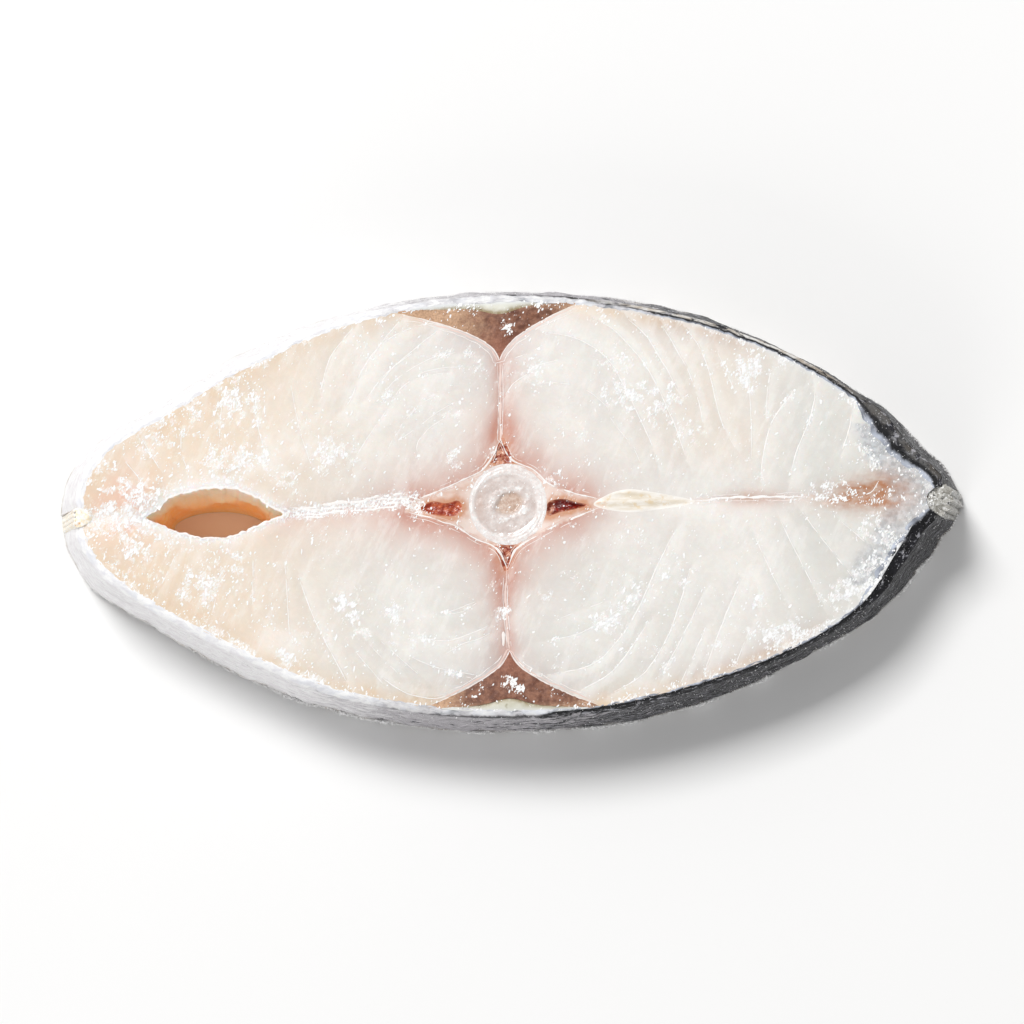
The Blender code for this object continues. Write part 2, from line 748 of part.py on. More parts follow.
def main():
    for old in list(bpy.data.objects):
        bpy.data.objects.remove(old)
    flesh = material("flesh", (0.78, 0.72, 0.66), 0.4)
    skin = material("skin", (0.16, 0.16, 0.17), 0.45)
    pale_skin = material("pale_skin", (0.78, 0.78, 0.79), 0.45)
    bone = material("bone", (0.82, 0.76, 0.74), 0.25)
    dark = material("dark_muscle", (0.32, 0.17, 0.13), 0.5)
    blood = material("frozen_blood", (0.35, 0.05, 0.04), 0.4)
    fat = material("fat", (0.74, 0.72, 0.62), 0.5)

    haemal = ellipse(HAEMAL_MIDDLE, HAEMAL_REACH, POCKET_SIDES)
    neural = ellipse(NEURAL_MIDDLE, NEURAL_REACH, POCKET_SIDES)
    pieces = [
        make_flesh(flesh),
        make_skin("skin_lower_flank", -1, BELLY_SPAN[1], FIN_SPAN[0], skin),
        make_skin("skin_upper_flank", 1, FIN_SPAN[1], BELLY_SPAN[0], pale_skin),
        make_backbone(bone),
        make_core_piece("neural_spine", spine_loop(), bone, top=19.7, crumble=0.08, step=1.6),
        make_core_piece("haemal_blood", haemal, blood, top=18.9, crumble=0.3, step=1.1),
        make_core_piece("neural_blood", neural, blood, top=18.5, crumble=0.3, step=1.1),
        make_core_piece("side_blood_upper", side_blood_loop(1), blood, top=18.8, crumble=0.2, step=1.2),
        make_core_piece("side_blood_lower", side_blood_loop(-1), blood, top=18.8, crumble=0.2, step=1.2),
        make_dark_muscle("dark_muscle_upper", DARK_UPPER, dark),
        make_dark_muscle("dark_muscle_lower", DARK_LOWER, dark),
        make_subskin_fat("subskin_fat_upper", DARK_UPPER, fat),
        make_subskin_fat("subskin_fat_lower", DARK_LOWER, fat),
        make_plug("belly_fat", -1, BELLY_SPAN, BELLY_DEPTH, fat, 19.7, -0.3),
        make_plug("fin_base", 1, FIN_SPAN, FIN_DEPTH, bone, 19.9, 0.4),
    ]
    centre_on_origin(pieces)


main()
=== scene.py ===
import math

import bpy
import numpy as np
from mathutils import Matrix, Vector
from mathutils.geometry import delaunay_2d_cdt, interpolate_bezier


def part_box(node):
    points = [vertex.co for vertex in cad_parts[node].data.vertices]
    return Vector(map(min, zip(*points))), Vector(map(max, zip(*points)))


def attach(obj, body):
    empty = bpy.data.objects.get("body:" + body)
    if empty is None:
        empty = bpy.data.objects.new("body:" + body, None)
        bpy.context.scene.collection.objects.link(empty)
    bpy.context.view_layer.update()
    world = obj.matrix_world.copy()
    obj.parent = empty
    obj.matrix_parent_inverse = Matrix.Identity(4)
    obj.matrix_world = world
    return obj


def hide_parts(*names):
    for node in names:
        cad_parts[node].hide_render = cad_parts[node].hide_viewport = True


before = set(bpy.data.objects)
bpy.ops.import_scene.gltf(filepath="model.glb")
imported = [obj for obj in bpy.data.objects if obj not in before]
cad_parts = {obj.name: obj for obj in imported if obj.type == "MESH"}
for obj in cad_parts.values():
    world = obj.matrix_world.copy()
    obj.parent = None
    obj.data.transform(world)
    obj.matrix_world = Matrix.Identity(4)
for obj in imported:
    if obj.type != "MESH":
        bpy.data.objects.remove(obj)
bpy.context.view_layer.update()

# Frozen cod steak, dressed for the picture. Section coordinates (u, v) are millimetres in the
# upper cut, from the middle of the backbone: +u to the back, -u to the belly, +v and -v to the
# flanks. `place` carries them down through the slice, as in the part's own source.
MM = 0.001

# Sizes of the slice, as in the part's source
THICKNESS = 20.0
SPREAD_U = 0.058
SPREAD_V = 0.063
PINCH = 0.06
PINCH_MIDDLE = 58.0
PINCH_WIDTH = 14.0
LEAN = 1.5
EDGE_STEP = 0.4
FLESH_EDGE = [
    (-78.9, -2.5), (-77.2, -8.3), (-70.6, -15.2), (-50.0, -26.7), (-29.5, -35.0),
    (-5.0, -38.4), (20.0, -37.0), (47.0, -29.2), (64.0, -19.6), (71.6, -9.2),
    (75.4, -3.0), (79.6, 1.2), (76.4, 6.2), (72.0, 10.6), (66.0, 18.6),
    (50.6, 28.2), (30.0, 35.2), (3.0, 38.3), (-25.0, 35.2), (-48.0, 26.1),
    (-62.0, 17.7), (-72.5, 11.3), (-77.7, 5.2),
]
BONE_U = 7.2
BONE_V = 7.6
SPINE_KNOTS = [
    (15.8, 0.0), (17.0, -0.7), (19.4, -1.2), (22.5, -1.5), (26.0, -1.2), (29.5, -0.7), (33.0, -0.1),
    (34.6, 0.6), (33.0, 1.1), (29.5, 1.8), (26.0, 2.4), (22.5, 2.8), (19.4, 2.2), (17.0, 1.0),
]
DARK_UPPER = {"side": 1, "apex": (-1.6, 26.9), "ends": (-21.0, 13.0), "powers": (0.43, 0.55)}
DARK_LOWER = {"side": -1, "apex": (0.3, -27.3), "ends": (-15.0, 17.0), "powers": (0.58, 0.56)}
FAT_BASE = 1.2
FAT_CREST = 1.3
FAT_CREST_WIDTH = 3.8
CAVITY_LIP = [
    (-66.7, -2.6), (-63.4, -4.3), (-58.6, -6.0), (-53.5, -6.3), (-49.6, -5.6),
    (-45.5, -3.7), (-41.4, -1.9), (-44.6, 0.0), (-48.8, 2.4), (-54.0, 3.2),
    (-59.0, 2.4), (-62.9, 1.0), (-64.6, -0.8),
]
CAVITY_MIDDLE = (-53.6, -1.6)
CAVITY_REACH = (13.2, 4.7)
CAVITY_FOOT_MIDDLE = (-51.4, -3.5)
CAVITY_FOOT_REACH = (8.4, 3.3)
SKIN_BULGE = 0.3
SKIN_RIM = [(-80.0, 1.3), (-20.0, 1.3), (10.0, 1.15), (40.0, 0.95), (62.0, 1.0), (73.0, 2.3), (80.0, 2.7)]
SKIN_FOOT_LOWER = [
    (-79.0, 0.9), (-74.0, 1.3), (-62.0, 1.1), (-51.0, 1.7), (-42.0, 1.5), (-29.0, 1.0),
    (-10.0, 1.2), (10.0, 0.75), (25.0, 1.1), (40.0, 1.0), (56.0, 0.8), (66.0, 1.2),
    (71.0, 2.2), (74.0, 3.2), (76.5, 3.0), (79.6, 1.7),
]
SKIN_FOOT_UPPER = [
    (-79.0, 1.3), (-74.0, 1.5), (-66.0, 1.4), (-55.0, 1.3), (-46.0, 2.2), (-38.0, 2.0),
    (-25.0, 1.4), (-5.0, 1.3), (10.0, 0.9), (20.0, 1.3), (40.0, 0.9), (62.0, 1.0),
    (68.0, 1.5), (72.0, 2.7), (76.0, 2.7), (79.6, 1.9),
]
BELLY_SPAN = ((-78.8, -0.9), (-78.7, -4.2))
BELLY_DEPTH = 1.7
FIN_SPAN = ((77.8, -1.0), (79.1, 3.0))
FIN_DEPTH = 1.0
FLESH_TOP = 19.6
LOBE_FALL = 0.42
SWELL = 0.12

# The connective tissue: septa between the lobes and the sheath round the backbone
UPPER_SEPTUM = [(-1.6, 26.9), (-1.3, 19.7), (-1.5, 12.0), (-0.9, 8.0)]
LOWER_SEPTUM = [(0.0, -8.0), (-0.4, -12.0), (-0.5, -18.0), (0.3, -27.3)]
BELLY_SEPTUM = [(-16.6, -0.4), (-20.0, 0.9), (-27.4, -0.2), (-34.8, -1.3), (-40.2, -1.6)]
BACK_SEPTUM = [(28.0, -0.3), (33.7, 0.7), (41.0, 1.2), (55.0, 1.5), (72.6, 1.7)]
SLIT_SEPTUM = [(-66.9, -2.6), (-72.0, -2.2), (-77.4, -2.8)]
SHEATH = [
    [(-17.6, 0.6), (-8.5, 4.4), (-4.0, 7.2), (-1.4, 12.4)],
    [(-1.4, 12.4), (0.5, 8.4), (4.6, 6.4), (8.7, 3.2), (17.0, 0.9)],
    [(17.0, -0.7), (10.0, -3.4), (5.9, -5.6), (1.7, -8.3), (-0.2, -12.0)],
    [(-0.2, -12.0), (-2.1, -8.3), (-6.5, -6.1), (-11.0, -3.6), (-19.2, -1.3)],
]
HAEMAL_POCKET = [
    (-16.2, -0.7), (-14.0, 0.5), (-11.4, 0.2), (-9.3, 0.7), (-8.5, -0.5),
    (-9.4, -2.0), (-11.4, -2.3), (-14.4, -1.8),
]
NEURAL_POCKET = [
    (7.4, 0.3), (10.0, 1.0), (12.6, 0.4), (14.9, -0.2), (12.6, -0.9), (9.7, -1.5), (7.3, -2.1),
]

# Seams between the flakes: knots, strength and how frosty they are
SEAMS = [
    ([(-0.6, 20.3), (0.9, 22.6), (3.5, 24.4), (5.0, 25.9), (9.5, 27.1)], 0.8, 0.7),
    ([(0.5, 27.1), (5.0, 29.0), (6.5, 30.1)], 0.5, 0.9),
    ([(3.2, 22.7), (12.4, 22.3), (18.0, 18.6), (19.3, 15.7), (23.5, 10.1), (25.0, 4.5)], 0.35, 0.3),
    ([
        (6.5, 32.4), (12.2, 31.3), (15.9, 29.4), (19.0, 26.7),
        (21.3, 22.6), (23.9, 17.3), (26.5, 11.3), (27.7, 7.0),
    ], 0.9, 0.4),
    ([
        (15.9, 35.0), (19.7, 32.7), (24.2, 27.8), (26.9, 23.7),
        (29.2, 18.8), (31.4, 13.5), (33.2, 7.8),
    ], 0.9, 0.5),
    ([(22.0, 35.2), (25.7, 31.6), (28.0, 27.8), (30.0, 24.5), (31.6, 21.0)], 1.0, 0.3),
    ([(28.7, 33.6), (31.8, 28.1), (33.9, 24.0), (35.5, 18.6), (36.3, 13.9)], 0.9, 0.3),
    ([(32.8, 33.3), (35.5, 29.6), (37.3, 25.1), (38.7, 18.6), (40.0, 14.5), (42.1, 10.6)], 0.9, 0.3),
    ([(38.8, 28.9), (40.2, 25.5), (42.2, 21.0)], 0.6, 0.6),
    ([(43.1, 26.8), (43.8, 24.0), (44.8, 20.7), (45.1, 15.9), (45.1, 8.3)], 0.5, 1.6),
    ([(48.8, 24.8), (48.2, 21.3), (47.9, 15.9)], 0.9, 0.6),
    ([(53.0, 21.0), (51.0, 18.6), (48.9, 15.2), (47.5, 10.4), (46.8, 4.9)], 1.0, 1.0),
    ([(56.6, 22.4), (56.8, 19.2), (55.4, 14.5), (53.6, 10.4), (52.3, 5.6)], 1.0, 0.6),
    ([(63.8, 17.2), (63.3, 14.2), (61.9, 10.0)], 1.0, 0.5),
    ([(68.7, 4.6), (67.3, 2.4), (65.3, 1.6)], 1.0, 0.2),
    ([(9.6, -21.2), (18.3, -17.9)], 0.5, 0.8),
    ([(6.8, -25.3), (13.6, -23.8), (21.6, -18.8)], 0.6, 0.9),
    ([(6.4, -31.8), (15.1, -29.9), (20.3, -25.3), (24.3, -18.8), (28.1, -10.4), (30.9, -4.9)], 1.0, 0.5),
    ([(13.2, -34.6), (19.7, -30.5), (25.8, -22.0)], 1.0, 0.4),
    ([(18.8, -35.2), (25.2, -31.2), (29.9, -23.5), (33.6, -12.3)], 0.9, 0.4),
    ([(28.3, -32.0), (33.2, -22.5), (36.4, -16.0)], 0.8, 0.5),
    ([(31.6, -33.6), (36.3, -23.5)], 0.9, 0.3),
    ([(35.9, -31.6), (39.6, -22.0), (42.8, -14.2)], 1.0, 0.3),
    ([(41.8, -30.1), (44.6, -23.1)], 0.7, 1.2),
    ([(46.0, -15.1), (46.3, -18.8)], 0.7, 1.2),
    ([(45.1, -4.9), (49.3, -14.2), (52.0, -19.7)], 0.6, 0.3),
    ([(50.3, -3.0), (54.8, -12.3), (57.9, -18.8)], 0.8, 0.2),
    ([(54.0, -1.1), (60.4, -9.5), (64.0, -14.2)], 0.7, 0.3),
    ([(61.4, -3.0), (68.7, -9.5)], 0.6, 0.2),
    ([(-28.5, 33.6), (-33.1, 27.4), (-34.9, 20.4)], 0.9, 0.4),
    ([(-20.1, 34.6), (-26.6, 26.1), (-29.3, 19.5), (-31.2, 17.2)], 0.8, 0.3),
    ([(-12.8, 34.2), (-18.0, 33.1), (-23.7, 29.8), (-27.0, 24.0)], 0.5, 0.4),
    ([(-12.7, 33.0), (-21.9, 25.2), (-26.6, 19.5)], 0.7, 0.4),
    ([(-16.1, 29.4), (-21.5, 25.5), (-25.0, 20.5)], 0.5, 0.6),
    ([(-11.3, 24.8), (-18.9, 22.6), (-23.8, 15.7), (-28.0, 9.2), (-28.9, 5.4)], 0.7, 0.6),
    ([(-8.5, 17.2), (-13.1, 15.4), (-16.5, 12.0), (-16.8, 9.1)], 0.5, 0.7),
    ([(-9.5, 21.5), (-15.0, 19.5), (-19.8, 14.8), (-22.5, 9.6)], 0.4, 0.7),
    ([(-6.0, 28.0), (-10.0, 28.4), (-14.5, 26.6)], 0.5, 0.6),
    ([(-10.5, 28.8), (-16.0, 26.6), (-21.5, 22.8), (-23.3, 19.4)], 0.35, 0.8),
    ([(-7.4, 25.8), (-12.0, 25.6), (-16.8, 24.3), (-21.5, 21.3), (-24.5, 17.0)], 0.35, 0.7),
    ([(-9.0, 19.6), (-12.8, 17.4), (-16.8, 14.4), (-20.0, 12.1)], 0.3, 0.8),
    ([(-5.6, -18.2), (-8.3, -20.0), (-11.1, -20.4)], 0.5, 0.5),
    ([(-2.8, -23.7), (-5.3, -25.0), (-8.3, -26.0), (-11.7, -27.9)], 0.5, 0.9),
    ([(-11.4, -31.3), (-9.2, -31.7), (-6.5, -32.3)], 0.4, 0.9),
    ([(1.8, -29.0), (3.9, -31.2), (6.4, -32.1)], 0.8, 0.4),
    ([(-9.9, -35.2), (-13.6, -36.0), (-17.6, -35.4), (-20.6, -34.0), (-23.7, -31.8)], 0.9, 0.3),
    ([(-68.2, 12.9), (-64.5, 6.4)], 0.6, 0.4),
    ([(-71.0, 8.2), (-68.1, 4.5)], 0.6, 0.4),
    ([(-5.2, -17.9), (-12.5, -20.7)], 0.5, 0.9),
    ([(-3.3, -22.5), (-10.7, -25.3), (-16.0, -24.8)], 0.6, 1.2),
    ([(-5.5, -31.8), (-12.5, -30.5), (-18.0, -28.4)], 0.7, 0.5),
    ([(-26.3, -25.3), (-19.9, -31.8)], 0.5, 0.3),
    ([(-23.6, -25.3), (-15.3, -32.7)], 0.5, 0.3),
    ([(-28.2, -27.2), (-22.6, -33.8)], 0.5, 0.3),
    ([(-38.4, -14.2), (-35.6, -21.6), (-31.8, -29.0), (-29.1, -33.9)], 0.9, 0.4),
    ([(-41.2, -10.4), (-40.2, -25.3)], 0.5, 0.3),
    ([(-47.1, -9.3), (-47.0, -19.9)], 0.5, 0.5),
    ([(-52.5, -10.0), (-54.5, -20.5)], 0.4, 0.4),
    ([(-57.5, -9.0), (-60.4, -19.0)], 0.4, 0.4),
    ([(-61.4, -9.4), (-64.8, -17.0)], 0.6, 0.4),
    ([(-36.2, 6.4), (-38.6, 14.0), (-40.4, 22.6)], 0.5, 0.4),
    ([(-44.0, 6.4), (-46.2, 14.0), (-47.0, 20.6)], 0.5, 0.8),
    ([(-52.0, 6.6), (-53.4, 13.0), (-53.0, 19.6)], 0.4, 0.6),
    ([(-59.0, 5.6), (-60.6, 10.0), (-60.4, 14.6)], 0.5, 0.5),
]

# Strips of connective tissue beside a line: how far to its right, width, warmth, how broken they
# are, lift, seed and how far they wander
STAR_STRIPS = [
    (0, 0.5, 0.1, 0.45, 0.02, 80, 0.2), (-0.7, 0.26, 0.3, 0.7, 0.01, 90, 0.2),
    (0.5, 0.24, 0.8, 0.6, 0.01, 100, 0.2),
]
ARCH_STRIPS = [
    (0.1, 0.34, 0.2, 0.4, 0.03, 110, 0.1), (0.55, 0.5, 0.6, 0.4, 0.01, 120, 0.3),
    (1.05, 0.24, 0.1, 0.65, 0.02, 130, 0.35),
]
SEPTUM_STRIPS = [
    (0, 0.8, 0.55, 0.2, 0.01, 138, 0.2), (0.42, 0.22, 0.1, 0.4, 0.02, 140, 0.1),
    (-0.42, 0.22, 0.1, 0.5, 0.02, 150, 0.1),
]
BELLY_STRIPS = [
    (0.9, 0.9, 0.04, 0.35, 0.03, 160, 0.45), (0.2, 0.7, 0.04, 0.6, 0.03, 161, 0.45),
    (-0.5, 0.7, 0.04, 0.6, 0.03, 162, 0.45), (-1.1, 0.5, 0.04, 0.7, 0.03, 163, 0.45),
]
BACK_STRIPS = [
    (0, 0.7, 0.02, 0.2, 0.03, 170, 0.25), (0.7, 0.3, 0.3, 0.6, 0.01, 171, 0.3),
    (-0.6, 0.3, 0.1, 0.6, 0.01, 172, 0.3),
]
RING_STRIPS = [(0, 0.6, 0.05, 0.3, 0.03, 175, 0.1)]

# The stretch of the section where frost may lie, and its clumps: u, v, radius and density
FROST_U = (-79, 79.5)
FROST_V = (-38.6, 38.6)
CLUMPS = [
    (21.5, 21.0, 4.2, 0.75), (26.4, 18.6, 4.2, 0.8), (31.0, 20.5, 3.0, 0.5), (34.0, 13.5, 3.0, 0.5),
    (20.0, 27.0, 4.0, 0.35), (45.2, 24.5, 3.2, 0.8), (46.0, 28.0, 3.0, 0.7), (51.0, 27.6, 3.0, 0.4),
    (4.4, 24.6, 2.4, 0.7), (-2.6, 20.2, 1.6, 1.5), (-6.6, 26.4, 3.0, 0.4), (-15.0, 20.0, 6.0, 0.25),
    (-9.6, 8.6, 1.8, 0.9), (-7.6, 10.4, 1.6, 0.7), (8.4, 4.6, 1.8, 0.8), (-0.9, -19.8, 1.6, 1.6),
    (-21.3, -20.9, 2.4, 0.8), (8.1, -29.3, 1.2, 1.0), (7.0, -17.2, 1.8, 0.7), (18.1, -21.7, 2.6, 0.8),
    (22.0, -16.4, 3.4, 0.8), (30.9, -14.4, 2.8, 0.6), (-16.4, -25.4, 1.5, 0.8), (-30.2, -18.9, 2.4, 1.2),
    (-27.4, -22.4, 3.4, 0.7), (-20.4, -23.6, 2.4, 0.5), (-55.9, -15.7, 3.6, 0.8), (-51.4, -10.8, 3.0, 0.6),
    (-40.1, -28.0, 2.4, 0.9), (-35.6, -24.4, 3.0, 0.3), (-52.3, 7.4, 4.4, 0.7), (-56.8, 17.4, 4.0, 0.6),
    (-52.0, 21.0, 3.2, 0.6), (-48.5, 18.1, 3.4, 0.7), (-32.7, 9.0, 3.8, 0.8), (-45.9, 8.7, 3.4, 0.5),
    (-40.0, 4.6, 3.2, 0.5), (-69.7, 1.6, 3.6, 0.9), (-65.6, 2.6, 2.6, 0.8), (-72.8, -1.8, 3.4, 0.6),
    (-66.6, -7.0, 3.6, 0.6), (-71.0, -9.6, 3.2, 0.6), (-73.4, 5.2, 3.0, 0.5), (-66.0, 11.6, 3.4, 0.4),
    (49.2, -24.7, 2.2, 1.1), (53.3, -23.3, 2.0, 1.1), (65.2, -15.4, 3.2, 1.1), (45.9, -18.5, 1.6, 1.0),
    (45.0, -23.7, 1.8, 0.9), (62.2, 2.2, 2.4, 1.4), (58.2, 1.6, 2.4, 0.7), (68.4, -0.6, 2.4, 1.1),
    (67.1, -4.3, 2.6, 1.0), (60.7, -16.8, 3.0, 0.8), (38.8, -26.3, 1.6, 0.7), (66.8, 10.4, 2.2, 1.1),
    (68.6, 7.0, 2.0, 0.9), (72.0, 2.6, 2.8, 0.8), (70.0, -6.4, 2.2, 0.8), (69.0, -10.6, 2.4, 0.8),
    (28.0, -28.4, 3.0, 0.3), (13.0, 8.0, 2.4, 0.3), (12.0, 13.4, 3.6, 0.25), (-26.0, 29.0, 4.0, 0.25),
    (0.4, -32.8, 1.3, 1.5), (-5.4, -35.2, 1.1, 0.7), (2.2, -34.0, 1.0, 1.0), (8.6, -35.0, 1.0, 0.6),
    (0.9, 34.3, 1.5, 1.5), (-0.8, 32.8, 1.1, 1.0), (17.6, 35.0, 1.4, 1.0), (30.6, 33.4, 2.0, 0.5),
]

# Ice crumbs on the skin: heaps at the foot of the lower flank by u and number, and loose ones by
# flank, first and last u, number, share of the height, radius and distance from the skin
CRUMB_HEAPS = [
    (-36.6, 70), (-28.3, 50), (-22.8, 40), (-5.0, 20), (6.0, 30), (15.2, 110),
    (22.0, 40), (34.6, 50), (44.8, 60), (58.0, 30), (70.7, 80),
]
LOOSE_CRUMBS = [
    (-1, -74, 79, 1500, (0.86, 1.0), (0.08, 0.3), 0.08),
    (1, -20, 78, 1300, (0.55, 1.0), (0.08, 0.26), 0.02),
    (-1, -70, 79, 500, (0.02, 0.95), (0.05, 0.15), 0.0),
    (1, -70, 79, 500, (0.02, 0.95), (0.05, 0.15), 0.0),
]

# Fineness of the meshes, in millimetres and rows
OUTLINE_STEP = 0.3
RIBBON_STEP = 0.3
FLESH_STEP = 0.46
FLESH_BASE_STEP = 1.1
BLOOD_STEP = 0.22
SPINE_STEP = 0.3
MUSCLE_STEP = 0.34
CORE_BASE_STEP = 0.8
PLUG_STEP = 0.25
PLUG_BASE_STEP = 0.6
PLUG_ROWS = 30
CAVITY_ROWS = 44
BONE_SPOKES = 144
BONE_ROWS = 58
RIM_ROWS = 12
WALL_ROWS = 42

# The stretch of the section that the fields cover, and their step
FIELD_U = (-85.0, 87.0)
FIELD_V = (-44.0, 44.0)
FIELD_STEP = 0.2

# Millimetres beyond anything in the scene
FAR = 1e9

# Edges bent more than this stay crisp
SHARP = math.radians(62.0)

# The light, how it lifts the tones, and the camera
SKY = 0.37
KEY_LAMP = ("key", (-0.78, 1.22, 2.15), 0.9, 56.0, (1.0, 0.995, 0.985))
FILL_LAMP = ("fill", (-0.9, -2.6, 0.95), 1.6, 22.0, (1.0, 0.995, 0.99))
LEVEL = 1.05
ELEVATION = math.radians(82.0)
DISTANCE = 0.8
LENS = 152.0
AIM = (0.740, -1.495)


def backbone_middle():
    low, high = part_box("backbone")
    return np.array([(low[0] + high[0]) / 2, low[1] + BONE_V * MM, 0.0])


ORIGIN = backbone_middle()


# Curves in the section
def evenly(points, step, closed=False):
    """The same curve with its points spread evenly along it."""
    path = list(points) + ([points[0]] if closed else [])
    lengths = [0.0]
    for a, b in zip(path, path[1:]):
        lengths.append(lengths[-1] + math.dist(a, b))
    count = max(3, round(lengths[-1] / step))
    at = np.linspace(0.0, lengths[-1], count + 1)
    u = np.interp(at, lengths, [p[0] for p in path])
    v = np.interp(at, lengths, [p[1] for p in path])
    result = [(float(a), float(b)) for a, b in zip(u, v)]
    return result[:-1] if closed else result


def smooth(knots, step, closed):
    """A curve through the knots, with points about `step` apart."""
    dense = []
    count = len(knots)
    for i in range(count if closed else count - 1):
        around = [(i + k) % count if closed else min(max(i + k, 0), count - 1) for k in (-1, 0, 1, 2)]
        before, start, stop, after = (Vector(knots[k]) for k in around)
        lead = start + (stop - before) / 6
        trail = stop - (after - start) / 6
        dense += interpolate_bezier(start, lead, trail, stop, 24)[:-1]
    if not closed:
        dense.append(Vector(knots[-1]))
    return evenly([tuple(p) for p in dense], step, closed)


def offset(points, distance, closed=True):
    """The curve moved to its right by `distance`."""
    path = np.array(points)
    if closed:
        before, after = np.roll(path, 1, axis=0), np.roll(path, -1, axis=0)
    else:
        before, after = np.vstack([path[:1], path[:-1]]), np.vstack([path[1:], path[-1:]])
    way = after - before
    way /= np.maximum(np.hypot(way[:, 0], way[:, 1]), 1e-9)[:, None]
    moved = path + distance * np.stack([way[:, 1], -way[:, 0]], axis=1)
    return [tuple(p) for p in moved.tolist()]


def nearest(points, target):
    return min(range(len(points)), key=lambda i: math.dist(points[i], target))


def stretch(loop, start, stop):
    """The part of a closed curve from near `start` forward to near `stop`."""
    first, last = nearest(loop, start), nearest(loop, stop)
    count = (last - first) % len(loop)
    return [loop[(first + i) % len(loop)] for i in range(count + 1)]


def knots_at(pairs, u):
    """Value at u between pairs of place and value, with easy bends."""
    for (a, low), (b, high) in zip(pairs, pairs[1:]):
        if u <= b:
            share = max(0.0, (u - a) / (b - a))
            return low + (high - low) * share * share * (3 - 2 * share)
    return pairs[-1][1]


EDGE = smooth(FLESH_EDGE, EDGE_STEP, True)
NORMAL_REACH = round(4.8 / EDGE_STEP)


def foot_table(side):
    return SKIN_FOOT_UPPER if side > 0 else SKIN_FOOT_LOWER


def edge_point(position):
    """The point of the flesh edge at a place counted in its steps."""
    i = math.floor(position)
    a, b = EDGE[i % len(EDGE)], EDGE[(i + 1) % len(EDGE)]
    return a[0] + (b[0] - a[0]) * (position - i), a[1] + (b[1] - a[1]) * (position - i)


def edge_normal(position):
    """The way out of the flesh there, over a long stretch so that it turns slowly."""
    a, b = edge_point(position - NORMAL_REACH), edge_point(position + NORMAL_REACH)
    length = math.dist(a, b)
    return (b[1] - a[1]) / length, (a[0] - b[0]) / length


def flank(side, u):
    """Where the flesh edge of one flank lies at u."""
    for a, b in zip(EDGE, EDGE[1:] + EDGE[:1]):
        low, high = sorted((a[0], b[0]))
        if low <= u < high and side * (a[1] + b[1]) > 0:
            return a[1] + (b[1] - a[1]) * (u - a[0]) / (b[0] - a[0])
    raise ValueError(u)


def arch(dark, reach):
    """Inner edge of a dark muscle at a signed share of its arm, from -1 to 1."""
    apex_u, apex_v = dark["apex"]
    arm = 1 if reach > 0 else 0
    end_u = dark["ends"][arm]
    power = dark["powers"][arm] / 2
    blunt = 1e-6
    rise = (reach * reach + blunt) ** power - blunt**power
    rise /= (1 + blunt) ** power - blunt**power
    u = apex_u + (end_u - apex_u) * abs(reach)
    return u, apex_v + (flank(dark["side"], end_u) - apex_v) * rise


def arch_line(dark, step=0.45):
    shares = [-((i / 60) ** 1.7) for i in range(60, 0, -1)]
    line = [arch(dark, reach) for reach in shares + [0.0] + [-s for s in reversed(shares)]]
    return evenly(line, step)


def fat_depth(dark, u):
    start, stop = dark["ends"][0] + 2.5, dark["ends"][1] - 2.0
    x = (2 * u - start - stop) / (stop - start)
    crest = FAT_CREST * math.exp(-(((u - dark["apex"][0]) / FAT_CREST_WIDTH) ** 2))
    return max(0.0, FAT_BASE * (1 - x * x) + crest) if abs(x) < 1 else 0.0


def dark_loop(dark):
    """Outline of one dark muscle, against the clock."""
    side = dark["side"]
    inner, outer = [], []
    for u, v in arch_line(dark):
        top = flank(side, u) - side * fat_depth(dark, u)
        if side * (top - v) > 0.12:
            inner.append((u, v - side * 0.08))
            outer.append((u, top))
    loop = inner + outer[::-1] if side > 0 else outer + inner[::-1]
    return evenly(loop, 0.4, closed=True)


def fat_loop(dark):
    """Outline of the fat between a dark muscle and the skin, against the clock."""
    side = dark["side"]
    start, stop = dark["ends"][0] + 2.7, dark["ends"][1] - 2.2
    stations = np.linspace(start, stop, 60).tolist()
    under = [(u, flank(side, u) - side * (0.06 + fat_depth(dark, u))) for u in stations]
    over = [(u, flank(side, u) + side * 0.1) for u in stations]
    loop = under + over[::-1] if side > 0 else over + under[::-1]
    return evenly(loop, 0.4, closed=True)


def side_blood_loop(side):
    base, tip, half = BONE_V - 0.2, 12.4, 2.3
    corners = [(-half, base + 0.35), (0.0, base), (half, base + 0.35), (0.35, tip), (-0.35, tip)]
    middle = -1.1 if side > 0 else -0.4
    points = evenly([(u + middle, side * v) for u, v in corners], 0.3, closed=True)
    return points if side > 0 else points[::-1]


def spine_loop():
    """The neural spine: it starts narrow, widens and tapers to the back."""
    return smooth(SPINE_KNOTS, 0.35, True)


def cavity_lip():
    """The lip of the cavity, a little ragged."""
    lip = smooth(CAVITY_LIP, 0.33, True)
    ragged = []
    for u, v in lip:
        out = 0.16 * math.sin(2.1 * u + 0.7) * math.sin(0.9 * u + 2.0) + 0.08 * math.sin(5.3 * u + v)
        away = (u - CAVITY_MIDDLE[0], (v - CAVITY_MIDDLE[1]) * 2.4)
        length = math.hypot(*away)
        ragged.append((u + out * away[0] / length, v + out * away[1] / length))
    return ragged


def cavity_foot():
    """The cavity's outline at the lower cut, which is narrower."""
    foot = []
    for u, v in cavity_lip():
        across = (u - CAVITY_MIDDLE[0]) / CAVITY_REACH[0]
        turn = math.atan2((v - CAVITY_MIDDLE[1]) / CAVITY_REACH[1], across)
        foot_u = CAVITY_FOOT_MIDDLE[0] + CAVITY_FOOT_REACH[0] * math.cos(turn)
        foot_v = CAVITY_FOOT_MIDDLE[1] + CAVITY_FOOT_REACH[1] * math.sin(turn)
        foot.append((foot_u, foot_v))
    return foot


